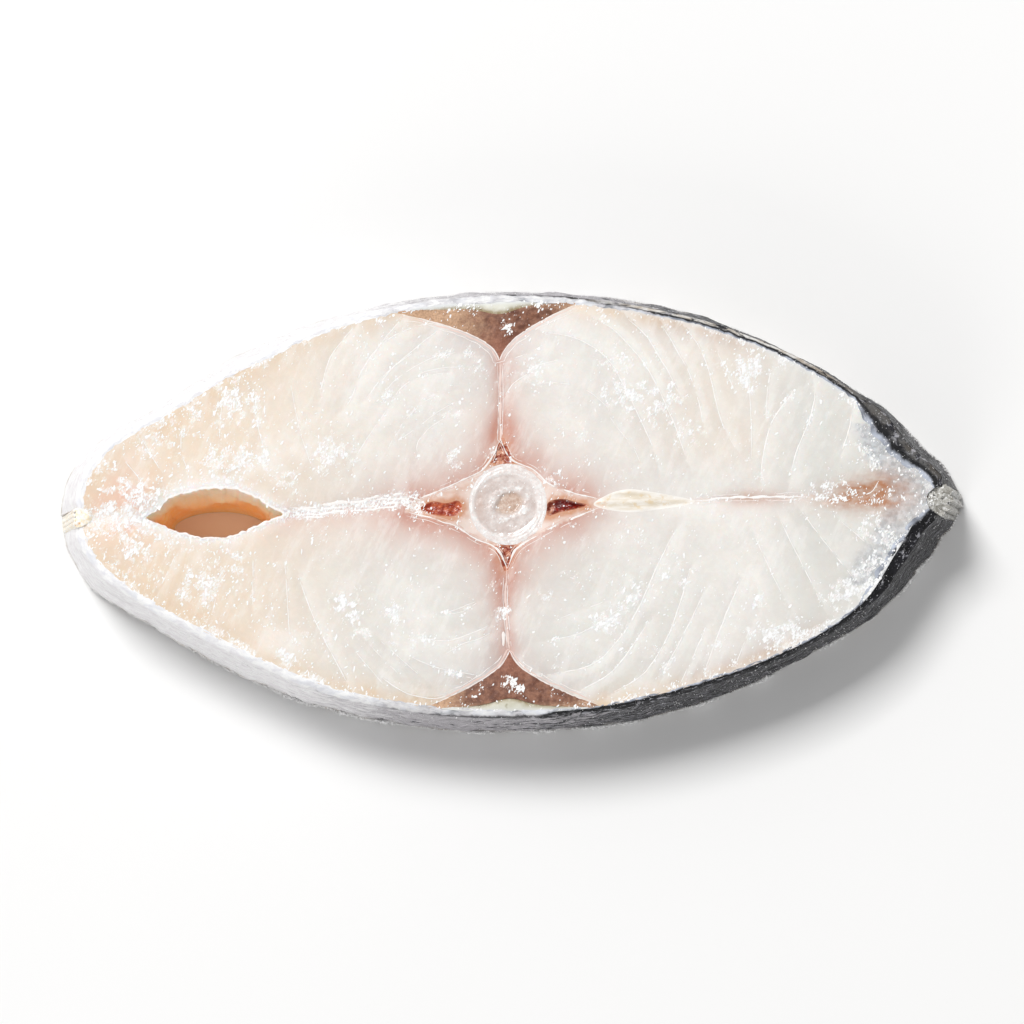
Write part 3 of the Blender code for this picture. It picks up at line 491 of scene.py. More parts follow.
def bay(start, stop, depth):
    """Points between two others on a bow to the left of the way from one to the other."""
    length = math.dist(start, stop)
    left = ((start[1] - stop[1]) / length, (stop[0] - start[0]) / length)
    points = []
    for share in np.linspace(0.08, 0.92, 11).tolist():
        into = depth * math.sin(math.pi * share)
        u = start[0] + (stop[0] - start[0]) * share + left[0] * into
        v = start[1] + (stop[1] - start[1]) * share + left[1] * into
        points.append((u, v))
    return points


def flesh_loop():
    lower_dark, upper_dark = arch_line(DARK_LOWER), arch_line(DARK_UPPER)[::-1]
    line = stretch(EDGE, BELLY_SPAN[1], lower_dark[0])[:-1] + lower_dark
    line += stretch(EDGE, lower_dark[-1], FIN_SPAN[0])[1:]
    fin_stop = stretch(EDGE, FIN_SPAN[1], upper_dark[0])[:-1]
    line += bay(line[-1], fin_stop[0], FIN_DEPTH) + fin_stop + upper_dark
    line += stretch(EDGE, upper_dark[-1], BELLY_SPAN[0])[1:]
    line += bay(line[-1], line[0], BELLY_DEPTH)
    return line


def ellipse(middle, reach, count):
    turns = [math.tau * i / count for i in range(count)]
    return [(middle[0] + reach[0] * math.cos(t), middle[1] + reach[1] * math.sin(t)) for t in turns]


EDGE_RING = EDGE + EDGE[:1]
LIP_RING = cavity_lip() + cavity_lip()[:1]
SEAM_LINES = [(smooth(knots, 0.6, False), strength, frost) for knots, strength, frost in SEAMS]
STAR = [smooth(knots, 0.4, False) for knots in SHEATH]
STAR_LOOP = (STAR[0] + STAR[1] + STAR[2] + STAR[3])[::-1]
STAR_RING = STAR_LOOP + STAR_LOOP[:1]
ARCHES = [arch_line(DARK_UPPER, 0.9), arch_line(DARK_LOWER, 0.9)]
CORE_RINGS = [
    ring + ring[:1] for ring in (
        ellipse((0.0, 0.0), (BONE_U, BONE_V), 60), smooth(HAEMAL_POCKET, 0.6, True),
        smooth(NEURAL_POCKET, 0.6, True), spine_loop(), side_blood_loop(1), side_blood_loop(-1),
    )
]
SEPTA = [UPPER_SEPTUM, LOWER_SEPTUM, BELLY_SEPTUM, BACK_SEPTUM, SLIT_SEPTUM]


# Fields over the section: numpy arrays in, numpy arrays out
def place(u, v, z):
    """Points of the section at height z, in metres in the model's frame."""
    drop = 1 - z / THICKNESS
    spread_v = SPREAD_V - PINCH * np.exp(-(((u - PINCH_MIDDLE) / PINCH_WIDTH) ** 2))
    x = u * (1 + SPREAD_U * drop)
    y = v * (1 + spread_v * drop) + LEAN * drop
    return np.stack([x, y, z + 0 * u], axis=-1) * MM + ORIGIN


def chance(i, j, seed):
    wave = np.sin(i * 127.1 + j * 311.7 + seed * 74.7) * 43758.5453
    return wave - np.floor(wave)


def noise(u, v, size, seed=0, octaves=1):
    """Smooth random values from -1 to 1 that change over about `size` millimetres."""
    total, weight = 0.0, 0.0
    for k in range(octaves):
        x, y = u / size * 2**k + 13.7 * (seed + k), v / size * 2**k - 5.3 * (seed + k)
        i, j = np.floor(x), np.floor(y)
        fx, fy = x - i, y - j
        fx, fy = fx * fx * (3 - 2 * fx), fy * fy * (3 - 2 * fy)
        low = chance(i, j, seed) * (1 - fx) + chance(i + 1, j, seed) * fx
        high = chance(i, j + 1, seed) * (1 - fx) + chance(i + 1, j + 1, seed) * fx
        total = total + (2 * (low * (1 - fy) + high * fy) - 1) * 0.6**k
        weight += 0.6**k
    return total / weight


def ease(value, low, high):
    """0 below `low`, 1 above `high`, with soft ends."""
    share = np.clip((value - low) / (high - low), 0, 1)
    return share * share * (3 - 2 * share)


def bell(value, width, power=2.0):
    return np.exp(-(np.abs(value) / width) ** power)


def to_line(u, v, line, reach):
    """Distance to a polyline and the side, +1 on its left; points beyond `reach` give FAR."""
    best, side = np.full(u.shape, FAR), np.ones(u.shape)
    path = np.array(line)
    for first in range(0, len(path) - 1, 12):
        knots = path[first : first + 13]
        low, high = knots.min(axis=0) - reach, knots.max(axis=0) + reach
        near = np.nonzero((u > low[0]) & (u < high[0]) & (v > low[1]) & (v < high[1]))[0]
        if not len(near):
            continue
        x, y, least, hand = u[near], v[near], best[near], side[near]
        for a, b in zip(knots, knots[1:]):
            du, dv = b - a
            share = ((x - a[0]) * du + (y - a[1]) * dv) / max(du * du + dv * dv, 1e-9)
            share = np.clip(share, 0, 1)
            away = np.hypot(x - a[0] - du * share, y - a[1] - dv * share)
            closer = away < least
            least = np.where(closer, away, least)
            hand = np.where(closer, np.sign(du * (y - a[1]) - dv * (x - a[0])), hand)
        best[near], side[near] = least, hand
    return best, side


def away_from(u, v, line, reach=FAR):
    """Distance to a polyline."""
    return to_line(u, v, line, reach)[0]


def gap_to(u, v, loop, reach=FAR):
    """Distance to a closed outline."""
    return away_from(u, v, loop + loop[:1], reach)


def within(u, v, loop):
    crossings = np.zeros(u.shape, bool)
    for a, b in zip(loop, loop[1:] + loop[:1]):
        if a[1] != b[1]:
            spans = (a[1] > v) != (b[1] > v)
            crossings ^= spans & (u < a[0] + (b[0] - a[0]) * (v - a[1]) / (b[1] - a[1]))
    return crossings


def relief(u, v):
    """Height of the flesh: four lobes that fall towards the septa, the arches and the bone."""
    nearby = np.maximum(np.hypot(u / BONE_U, v / BONE_V) * BONE_U - BONE_U, 0.0)
    for line in SEPTA + ARCHES:
        nearby = np.minimum(nearby, away_from(u, v, line, 9.0))
    fall = LOBE_FALL * np.exp(-((nearby / 2.4) ** 1.2))
    return FLESH_TOP - fall + SWELL * np.sin(u / 9.0 + 1.0) * np.cos(v / 7.0)


def seam_fields(u, v):
    """Furrow depth, and a signed step beside the seams that lifts the cut a little and sets painted shade on
    one side of each seam and a painted highlight on the other.
    """
    furrow, step, nearest_one = np.zeros(u.shape), np.zeros(u.shape), np.full(u.shape, FAR)
    for line, strength, _ in SEAM_LINES:
        away, side = to_line(u, v, line, 5.0)
        furrow = np.maximum(furrow, strength * bell(away, 0.55))
        closer = away < nearest_one
        nearest_one = np.where(closer, away, nearest_one)
        outer = side * (1 if line[0][1] > line[-1][1] else -1)
        step = np.where(closer, strength * outer * bell(away, 2.2, 1.2), step)
    return furrow, step


def surface(u, v):
    """Height of the upper cut with its seams and small unevenness."""
    furrow, step = seam_fields(u, v)
    z = relief(u, v) - 0.02 * furrow + 0.012 * step
    return z + 0.06 * noise(u, v, 5.5, 3, 2) + 0.02 * noise(u, v, 1.2, 9, 2)


class Field:
    """A field that is worked out once on a grid and then read between its points."""

    def __init__(self, function):
        u, v = np.meshgrid(np.arange(*FIELD_U, FIELD_STEP), np.arange(*FIELD_V, FIELD_STEP))
        self.values = function(u.ravel(), v.ravel()).reshape(u.shape)

    def __call__(self, u, v):
        rows, columns = self.values.shape
        x = np.clip((u - FIELD_U[0]) / FIELD_STEP, 0, columns - 1.001)
        y = np.clip((v - FIELD_V[0]) / FIELD_STEP, 0, rows - 1.001)
        i, j = x.astype(int), y.astype(int)
        fx, fy = x - i, y - j
        low = self.values[j, i] * (1 - fx) + self.values[j, i + 1] * fx
        high = self.values[j + 1, i] * (1 - fx) + self.values[j + 1, i + 1] * fx
        return low * (1 - fy) + high * fy


# Meshes
def piece(name, points, faces, look, nodes=(), fields=None, flat=False):
    """A piece of the visual model that rides on the slice."""
    sizes = [face.shape[1] for face in faces]
    corners = np.concatenate([face.ravel() for face in faces]).astype(np.int32)
    counts = np.concatenate([np.full(len(face), k) for face, k in zip(faces, sizes)])
    mesh = bpy.data.meshes.new(name)
    mesh.vertices.add(len(points))
    mesh.vertices.foreach_set("co", np.asarray(points, np.float32).ravel())
    mesh.loops.add(len(corners))
    mesh.loops.foreach_set("vertex_index", corners)
    mesh.polygons.add(len(counts))
    starts = np.concatenate([[0], np.cumsum(counts)[:-1]]).astype(np.int32)
    mesh.polygons.foreach_set("loop_start", starts)
    mesh.update(calc_edges=True)
    mesh.validate()
    if flat:
        mesh.shade_flat()
    else:
        mesh.shade_smooth()
        mesh.set_sharp_from_angle(angle=SHARP)
    for key, values in (fields or {}).items():
        layer = mesh.attributes.new(key, "FLOAT", "POINT")
        layer.data.foreach_set("value", np.asarray(values, np.float32))
    mesh.materials.append(look.material)
    made = bpy.data.objects.new(name, mesh)
    bpy.context.scene.collection.objects.link(made)
    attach(made, "root")
    if nodes:
        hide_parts(*nodes)
    return made


def fill(loops, step):
    """Points and triangles of a plane region, and where each loop's points are among them."""
    edge = np.array([p for loop in loops for p in loop])
    low, high = edge.min(axis=0), edge.max(axis=0)
    rows = np.arange(low[1], high[1], step * math.sqrt(3) / 2)
    columns = np.arange(low[0], high[0], step)
    u, v = np.meshgrid(columns, rows)
    u += (np.arange(len(rows)) % 2)[:, None] * step / 2
    u, v = u.ravel(), v.ravel()
    keep = within(u, v, loops[0])
    for loop in loops[1:]:
        keep &= ~within(u, v, loop)
    u, v = u[keep], v[keep]
    clear = np.full(u.shape, FAR)
    for loop in loops:
        clear = np.minimum(clear, gap_to(u, v, loop, step * 2))
    u, v = u[clear > step * 0.55], v[clear > step * 0.55]
    points = [Vector(p) for p in edge.tolist()] + [Vector(p) for p in zip(u.tolist(), v.tolist())]
    edges, start, rings = [], 0, []
    for loop in loops:
        count = len(loop)
        edges += [(start + i, start + (i + 1) % count) for i in range(count)]
        rings.append(list(range(start, start + count)))
        start += count
    flat, _, faces, origins, _, _ = delaunay_2d_cdt(points, edges, [], 1, 1e-6)
    found = {source: k for k, origin in enumerate(origins) for source in origin}
    flat = np.array([tuple(p) for p in flat])
    tris = np.array([face for face in faces if len(face) == 3])
    middle = flat[tris].mean(axis=1)
    keep = np.ones(len(tris), bool)
    for loop in loops[1:]:
        keep &= ~within(middle[:, 0], middle[:, 1], loop)
    rings = [np.array([found[i] for i in ring]) for ring in rings]
    return flat, tris[keep], rings


def slab(loops, top, bottom, step, base_step, feet=None, levels=None, fold=None):
    """A closed body between two cuts: section points, heights, wall shares and faces."""
    feet = feet or loops
    levels = levels or [2] * len(loops)
    flat, tris, rings = fill(loops, step)
    height = top(flat[:, 0], flat[:, 1])
    parts = [np.column_stack([flat, height, np.zeros(len(flat))])]
    faces, quads = [tris], []
    total = len(flat)
    base_rings = []
    for ring, foot, count in zip(rings, feet, levels):
        start_uv, foot = flat[ring], np.array(foot)
        high, low = height[ring], bottom(foot[:, 0], foot[:, 1])
        upper = ring
        for level in range(1, count + 1):
            share = level / count
            at = start_uv + (foot - start_uv) * share
            if fold is not None and count > 2:
                at = fold(at, share)
            z = high + (low - high) * share
            parts.append(np.column_stack([at, z, np.full(len(z), share if count > 2 else 0.0)]))
            lower = total + np.arange(len(ring))
            total += len(ring)
            quads.append(np.column_stack([lower, np.roll(lower, -1), np.roll(upper, -1), upper]))
            upper = lower
        base_rings.append(upper)
    base, base_tris, inner = fill(feet, base_step)
    place_of = np.full(len(base), -1)
    for ring, upper in zip(inner, base_rings):
        place_of[ring] = upper
    fresh = place_of < 0
    place_of[fresh] = total + np.arange(fresh.sum())
    rest = base[fresh]
    parts.append(np.column_stack([rest, bottom(rest[:, 0], rest[:, 1]), np.full(len(rest), -1.0)]))
    faces += [place_of[base_tris][:, ::-1], np.concatenate(quads)]
    return np.concatenate(parts), faces


def ground(u, v):
    """Height of the lower cut, which is a little rough."""
    return 0.05 * (1 + noise(u, v, 2.0, 31, 2))


def core(node, loop, look, top, step, fields):
    """A piece set into the flesh, with a detailed top."""
    points, faces = slab([loop], top, ground, step, CORE_BASE_STEP)
    u, v, z, _ = points.T
    return piece(node + "_dressed", place(u, v, z), faces, look, (node,), fields(u, v))


# Materials
def tone(red, green, blue):
    """Base colour that shows as this screen colour in the scene's light."""
    linear = []
    for value in (red, green, blue):
        share = value / 255
        share = share / 12.92 if share <= 0.04045 else ((share + 0.055) / 1.055) ** 2.4
        linear.append(min(share / LEVEL, 1.0))
    return (*linear, 1.0)


class Look:
    """A node material put together step by step; its lengths are millimetres."""

    def __init__(self, name, roughness, coat=0.0, specular=0.4):
        self.material = bpy.data.materials.new(name)
        self.material.use_nodes = True
        self.tree = self.material.node_tree
        self.shader = self.tree.nodes["Principled BSDF"]
        self.shader.inputs["Roughness"].default_value = roughness
        self.shader.inputs["Coat Weight"].default_value = coat
        self.shader.inputs["Coat Roughness"].default_value = 0.12
        self.shader.inputs["Specular IOR Level"].default_value = specular
        where = self.node("ShaderNodeTexCoord")
        scaled = self.node("ShaderNodeVectorMath", operation="SCALE")
        scaled.inputs["Scale"].default_value = 1 / MM
        self.join(where.outputs["Object"], scaled.inputs[0])
        self.at = scaled.outputs[0]

    def node(self, kind, **settings):
        made = self.tree.nodes.new(kind)
        for key, value in settings.items():
            setattr(made, key, value)
        return made

    def join(self, start, stop):
        self.tree.links.new(start, stop)

    def feed(self, socket, value):
        if isinstance(value, bpy.types.NodeSocket):
            self.join(value, socket)
        else:
            socket.default_value = value

    def glow(self, weight, scale, radius):
        """Light that scatters under the surface, and how far its red, green and blue go."""
        self.shader.inputs["Subsurface Weight"].default_value = weight
        self.shader.inputs["Subsurface Scale"].default_value = scale * MM
        self.shader.inputs["Subsurface Radius"].default_value = radius

    def glow_by(self, weight, reach):
        """Scattered light whose weight and reach, in millimetres, are fields."""
        self.join(weight, self.shader.inputs["Subsurface Weight"])
        self.join(self.times(reach, MM), self.shader.inputs["Subsurface Scale"])

    def field(self, name):
        return self.node("ShaderNodeAttribute", attribute_name=name).outputs["Fac"]

    def math(self, operation, a, b, clamp=False):
        made = self.node("ShaderNodeMath", operation=operation, use_clamp=clamp)
        self.feed(made.inputs[0], a)
        self.feed(made.inputs[1], b)
        return made.outputs[0]

    def times(self, a, b):
        return self.math("MULTIPLY", a, b)

    def plus(self, a, b):
        return self.math("ADD", a, b)

    def stretched(self, x, y, start=None):
        made = self.node("ShaderNodeVectorMath", operation="MULTIPLY")
        self.join(start or self.at, made.inputs[0])
        made.inputs[1].default_value = (x, y, 1.0)
        return made.outputs[0]

    def turned(self, angle, x, y):
        """Coordinates turned about the upright axis, then stretched."""
        made = self.node("ShaderNodeVectorRotate", rotation_type="Z_AXIS")
        self.join(self.at, made.inputs["Vector"])
        made.inputs["Angle"].default_value = angle
        return self.stretched(x, y, made.outputs[0])

    def joined(self, x, y):
        made = self.node("ShaderNodeCombineXYZ")
        self.feed(made.inputs[0], x)
        self.feed(made.inputs[1], y)
        return made.outputs[0]

    def noise(self, size, detail, rough=0.5, at=None, warp=0.0):
        made = self.node("ShaderNodeTexNoise")
        self.join(at or self.at, made.inputs["Vector"])
        made.inputs["Scale"].default_value = 1 / size
        made.inputs["Detail"].default_value = detail
        made.inputs["Roughness"].default_value = rough
        made.inputs["Distortion"].default_value = warp
        return made.outputs["Fac"]

    def ramp(self, value, low, high, start=0.0, stop=1.0):
        made = self.node("ShaderNodeMapRange", interpolation_type="SMOOTHSTEP")
        self.feed(made.inputs["Value"], value)
        made.inputs["From Min"].default_value = low
        made.inputs["From Max"].default_value = high
        made.inputs["To Min"].default_value = start
        made.inputs["To Max"].default_value = stop
        return made.outputs["Result"]

    def mix(self, share, a, b):
        """From a to b by share; three whole numbers are a screen colour."""
        made = self.node("ShaderNodeMix", data_type="RGBA")
        self.feed(made.inputs[0], share)
        for socket, value in ((made.inputs[6], a), (made.inputs[7], b)):
            self.feed(socket, tone(*value) if isinstance(value, tuple) and len(value) == 3 else value)
        return made.outputs[2]

    def between(self, value, low, high, a, b):
        """From a to b as the value goes from low to high."""
        return self.mix(self.ramp(value, low, high), a, b)

    def bump(self, height, depth, strength, normal=None):
        made = self.node("ShaderNodeBump")
        made.inputs["Distance"].default_value = depth * MM
        made.inputs["Strength"].default_value = strength
        self.join(height, made.inputs["Height"])
        if normal is not None:
            self.join(normal, made.inputs["Normal"])
        return made.outputs["Normal"]

    def finish(self, colour, roughness=None, normal=None):
        self.feed(self.shader.inputs["Base Color"], colour)
        if roughness is not None:
            self.join(roughness, self.shader.inputs["Roughness"])
        if normal is not None:
            self.join(normal, self.shader.inputs["Normal"])
        return self


FROST_WHITE = (255, 254, 253)


def flesh_look():
    look = Look("cod_flesh", 0.4)
    look.glow(0.5, 1.2, (1.0, 0.66, 0.5))
    look.glow_by(look.field("soft"), look.field("reach"))
    cloud = look.noise(11.0, 2.0)
    colour = look.between(cloud, 0.3, 0.7, (231, 227, 222), (239, 236, 231))
    for name, shade in (
        ("cream", (236, 216, 193)),
        ("dorsal_grey_and_shade", (222, 221, 216)),
        # the dorsal grey also carries painted shade over the lower half
        ("mauve", (204, 190, 186)),
        ("rim", (224, 194, 158)),
        ("slit", (238, 196, 176)),
        ("milk", (251, 248, 244)),
        ("frill", (222, 226, 233)),
        ("sheath", (240, 222, 213)),
        ("blush", (206, 152, 136)),
        ("amber", (204, 138, 96)),
    ):
        colour = look.mix(look.field(name), colour, shade)
    crumbly = look.ramp(look.noise(1.1, 4.0, 0.65), 0.4, 0.62)
    mass = look.mix(crumbly, (172, 175, 179), (210, 213, 217))
    colour = look.mix(look.field("tail"), colour, mass)
    depth = look.field("cavity")
    wall = look.between(depth, 0.02, 0.2, (255, 248, 238), (255, 240, 220))
    wall = look.between(depth, 0.16, 0.75, wall, (255, 201, 136))
    # Painted glow: the cavity wall gives off a faint light of its own, yellowish by the lip and orange deeper
    # down, standing in for light that shines through the flesh
    painted_glow = look.between(depth, 0.25, 0.75, (0.86, 0.98, 0.72, 1.0), (1.0, 0.42, 0.14, 1.0))
    look.join(painted_glow, look.shader.inputs["Emission Color"])
    look.join(look.ramp(depth, 0.06, 0.5, 0.0, 0.1), look.shader.inputs["Emission Strength"])
    colour = look.between(depth, 0.0, 0.05, colour, wall)
    # Painted shade on one side of each seam and painted highlight on the other, as light would fall on
    # stepped flakes
    step = look.plus(look.times(look.field("step"), 0.5), 0.5)
    colour = look.mix(look.ramp(step, 0.0, 0.5, 0.14, 0.0), colour, (206, 198, 190))
    colour = look.mix(look.ramp(step, 0.5, 1.0, 0.0, 0.4), colour, (249, 247, 243))
    grain = look.noise(0.8, 3.0, 0.6)
    colour = look.mix(look.ramp(grain, 0.35, 0.7, 0.1, 0.0), colour, (200, 190, 184))
    mist = look.noise(2.6, 6.0, 0.7, look.turned(-1.15, 0.3, 1.0))
    colour = look.mix(look.ramp(mist, 0.48, 0.66, 0.0, 0.28), colour, (252, 250, 247))
    speck = look.noise(0.42, 3.0, 0.7, look.turned(-1.05, 0.5, 1.0))
    lumps = look.noise(1.5, 4.0, 0.65)
    swing = look.plus(look.times(speck, 1.3), look.times(lumps, 1.1))
    amount = look.plus(look.times(look.field("frost"), 0.9), swing)
    web = look.noise(0.3, 3.0, 0.75, look.turned(-1.1, 0.6, 1.0))
    white = look.times(look.ramp(amount, 1.42, 1.72, 0.0, 0.85), look.ramp(web, 0.4, 0.62, 0.25, 1.0))
    open_face = look.math("SUBTRACT", 1.0, look.ramp(depth, 0.0, 0.1), True)
    white = look.times(white, open_face)
    colour = look.mix(white, colour, (252, 251, 250))
    rusty = look.times(look.field("fan"), look.ramp(look.noise(1.3, 3.0, 0.6), 0.35, 0.6, 0.7, 1.0))
    colour = look.mix(rusty, colour, (186, 130, 94))
    roughness = look.ramp(grain, 0.3, 0.7, 0.3, 0.55)
    normal = look.bump(grain, 0.08, 0.3)
    normal = look.bump(white, 0.05, 0.5, normal)
    return look.finish(colour, roughness, normal)


def flesh_fields(u, v, share):
    """Where the flesh is pink, creamy, frosted and so on, for the flesh's material."""
    rim_gap = away_from(u, v, EDGE_RING, 9.0)
    cavity_gap = away_from(u, v, LIP_RING, 9.0)
    star_gap = away_from(u, v, STAR_RING, 16.0)
    in_star = within(u, v, STAR_LOOP)
    out_star = np.where(in_star, 0.0, star_gap)
    upper, lower = (away_from(u, v, line, 12.0) for line in ARCHES)
    spine_up, spine_down = (away_from(u, v, line, 8.0) for line in (UPPER_SEPTUM, LOWER_SEPTUM))
    belly, belly_side = to_line(u, v, BELLY_SEPTUM, 9.0)
    back, back_side = to_line(u, v, BACK_SEPTUM, 9.0)
    slit = away_from(u, v, SLIT_SEPTUM, 9.0)
    patchy = 1 + 0.3 * noise(u, v, 4.0, 5, 2)

    blush = 0.9 * bell(out_star, 4.4, 1.2) * patchy * (1 - 0.6 * ease(u, 12, 20))
    blush += 0.75 * bell(np.minimum(spine_up, spine_down), np.where(u * v > 0, 2.7, 1.5), 1.5)
    blush += np.where(belly_side > 0, 0.5 * bell(belly, 3.6, 1.2), 0.2 * bell(belly, 2.0, 1.2))
    below = np.where(back_side < 0, 0.42, 0.2)
    blush += below * bell(back, 1.9, 1.3) * ease(u, 36, 44) * ease(-u, -60, -48)
    blush = np.where(in_star, 0.0, blush)
    pockets = np.full(u.shape, FAR)
    for ring in CORE_RINGS[1:3] + CORE_RINGS[4:]:
        pockets = np.minimum(pockets, away_from(u, v, ring, 5.0))
    amber = (0.9 * bell(pockets, 0.8) + 0.25 * bell(pockets, 2.0)) * (1 + 0.9 * noise(u, v, 1.1, 19, 3))
    streaks = 0.35 * bell(out_star, 0.4, 3) * in_star * ease(noise(u * 0.5, v, 1.1, 20, 2), -0.1, 0.6)
    amber = amber * (0.35 + 0.65 * in_star) + streaks
    arches = np.minimum(upper, lower)
    upper_apex = np.hypot(u - DARK_UPPER["apex"][0], v - 29.0)
    apex = np.maximum(bell(upper_apex, 14.0), bell(np.hypot(u, v + 29.0), 14.0))
    mauve = 0.9 * bell(arches, 4.2, 1.3) * apex
    edge_low = ease(u, 26, 38) * (1 - ease(u, 50, 62)) * (v < 0)
    edge_high = 0.75 * ease(u, 14, 26) * (1 - ease(u, 38, 50)) * (v > 0)
    mauve = np.maximum(mauve, bell(rim_gap, 2.7) * (edge_low + edge_high) * patchy)
    cream = 0.95 * ease(-u, 12, 66) * (0.85 + 0.15 * patchy)
    cream += 0.3 * ease(u, 16, 40) * ease(-u, -58, -40) * ease(v, 4, 12)
    # Greyer flesh towards the back, and painted shade over the lower half near the middle
    dorsal_grey_and_shade = 0.85 * ease(u, 44, 58) * patchy + 0.5 * ease(-v, 3, 12) * bell(u, 36.0, 4)
    width = np.where(u < -24, 2.6, 1.3)
    arms = np.maximum(bell(u + 16, 9.0) * (v > 0), bell(u + 17, 10.0) * (v < 0))
    arms = np.maximum(arms, bell(u - 20, 12.0))
    rim = bell(rim_gap, width + 1.2 * arms, 1.5) * (0.5 + 0.5 * arms)
    rim = rim * (0.85 + 0.5 * noise(u, v, 3.0, 8, 2)) * (1 - ease(u, 34, 52))
    rim = np.maximum(rim, 0.65 * bell(rim_gap, 1.7) * (edge_low + edge_high) * patchy)
    slit_zone = bell(np.hypot((u + 70.5) / 7.0, (v + 0.5) / 8.0), 1.0, 2.5)
    slit_zone = slit_zone * (0.45 + 0.5 * noise(u, v, 3.0, 12, 2))
    slit_zone += 0.6 * bell(np.hypot(u + 68.5, v - 1.4), 2.4)
    slit_zone += 0.8 * bell(np.hypot(u + 69.9, v + 4.3), 0.9)
    lane = v - 1.7 - 0.05 * (u - 66)
    streak = 0.85 + 0.6 * noise(u * 0.35, v, 0.8, 14, 2)
    fan = 1.2 * bell(u - 66.0, 8.0, 3) * bell(lane, 2.2 + 0.15 * np.abs(u - 60)) * streak
    fan += 0.45 * bell(u - 45.0, 5.0) * bell(v - 1.2, 1.2)
    milk = 0.85 * bell(cavity_gap, 1.6, 1.5) + 0.5 * bell(slit, 1.2)
    haze = ease(noise(u, v, 9.0, 17, 3), 0.05, 0.6) * (0.4 + 0.6 * ease(-u, -20, 30))
    milk += 0.45 * haze * (1 - 0.7 * ease(-u, 56, 68))
    frill = 0.8 * bell(rim_gap, 0.6) * ease(u, 8, 26) * (v > 0)
    tail = ease(u + 0.55 * np.abs(v - 1.5) + 1.2 * noise(u, v, 2.4, 16, 3), 69.6, 72.4) * (np.abs(v) < 15)
    frill = np.maximum(frill, 0.6 * bell(rim_gap, 0.6) * ease(u, 30, 46) * (v < 0))
    band = bell(belly, 1.15, 3) + 0.9 * bell(back, 0.5, 3) * ease(-u, -62, -52)
    sheath = np.maximum(in_star * 1.0, bell(star_gap, 0.45, 3)) + band * 0.6
    joints = np.minimum(np.minimum(rim_gap, arches), away_from(u, v, CORE_RINGS[0], 3.0))
    for ring in CORE_RINGS[1:]:
        joints = np.minimum(joints, away_from(u, v, ring, 3.0))
    near_cavity = np.maximum(bell(cavity_gap, 2.6), np.clip(share * 8, 0, 1))
    tubes = [("cream", cream), ("dorsal_grey_and_shade", dorsal_grey_and_shade), ("mauve", mauve), ("blush", blush), ("rim", rim)]
    tubes += [("slit", slit_zone), ("fan", fan), ("milk", milk), ("frill", frill), ("sheath", sheath)]
    values = {name: np.clip(value, 0, 1) for name, value in tubes}
    values["amber"] = np.clip(amber, 0, 0.9)
    values["tail"] = 0.85 * np.clip(tail, 0, 1)
    values["soft"] = 0.5 * ease(joints, 0.1, 1.8) + 0.4 * near_cavity
    values["reach"] = 1.1 + 3.4 * near_cavity
    values["cavity"] = np.clip(share * (1 + 0.9 * ease(-u, 58, 65)), 0, 1)
    # The seam step, which also places the painted shade and highlight beside the seams
    values["step"] = seam_fields(u, v)[1]
    values["frost"] = np.clip(DENSITY(u, v), 0, 1)
    return values


def frost_density(u, v):
    """How thickly the frost lies, from 0 to about 1.5."""
    density = 0.03 + 0.2 * ease(noise(u, v, 7.0, 40, 2), 0.0, 0.6) * ease(noise(u, v, 1.7, 41, 2), -0.1, 0.6)
    ragged = 1 + 0.45 * noise(u, v, 2.2, 43, 3)
    for at_u, at_v, radius, amount in CLUMPS:
        near = np.exp(-(((u - at_u) ** 2 + (v - at_v) ** 2) / (radius * ragged) ** 2) ** 1.6)
        density += amount * near * ease(noise(u, v, 1.1, 44, 2), -0.3, 0.45)
    for line, _, frost in SEAM_LINES:
        away = away_from(u, v, line, 2.0)
        broken = ease(noise(u, v, 2.2, 46, 2), -0.2, 0.5)
        density += 0.55 * frost * bell(away, 0.38 + 0.3 * frost) * broken
    belly = away_from(u, v, BELLY_SEPTUM, 5.0)
    back = away_from(u, v, BACK_SEPTUM[1:], 4.0)
    slit = away_from(u, v, SLIT_SEPTUM, 6.0)
    rim = away_from(u, v, EDGE_RING, 5.0)
    cavity = away_from(u, v, LIP_RING, 3.0)
    density = density + 0.75 * bell(belly, 1.3) + 0.2 * bell(back, 1.2) + 0.45 * bell(slit, 2.6)
    density += 0.4 * bell(cavity, 0.9)
    density += bell(rim - 0.6, 0.9) * (0.12 + 0.5 * ease(noise(u, v, 3.4, 50, 2), 0.0, 0.5))
    broken = ease(noise(u, v, 1.5, 52, 2), -0.3, 0.4)
    density += 0.4 * bell(rim - 1.4, 2.0) * ease(u, 60, 68) * broken
    star = away_from(u, v, STAR_RING, 4.0)
    density += 0.22 * bell(star - 0.6, 1.0) * ease(noise(u, v, 1.6, 54, 2), -0.1, 0.5)
    belly_side = 0.18 * ease(-u, 30, 62) * ease(noise(u, v, 3.0, 55, 3), -0.2, 0.4)
    return (density + belly_side) * (1 - 0.4 * ease(u, 64, 69))


TOP = Field(surface)
DENSITY = Field(frost_density)


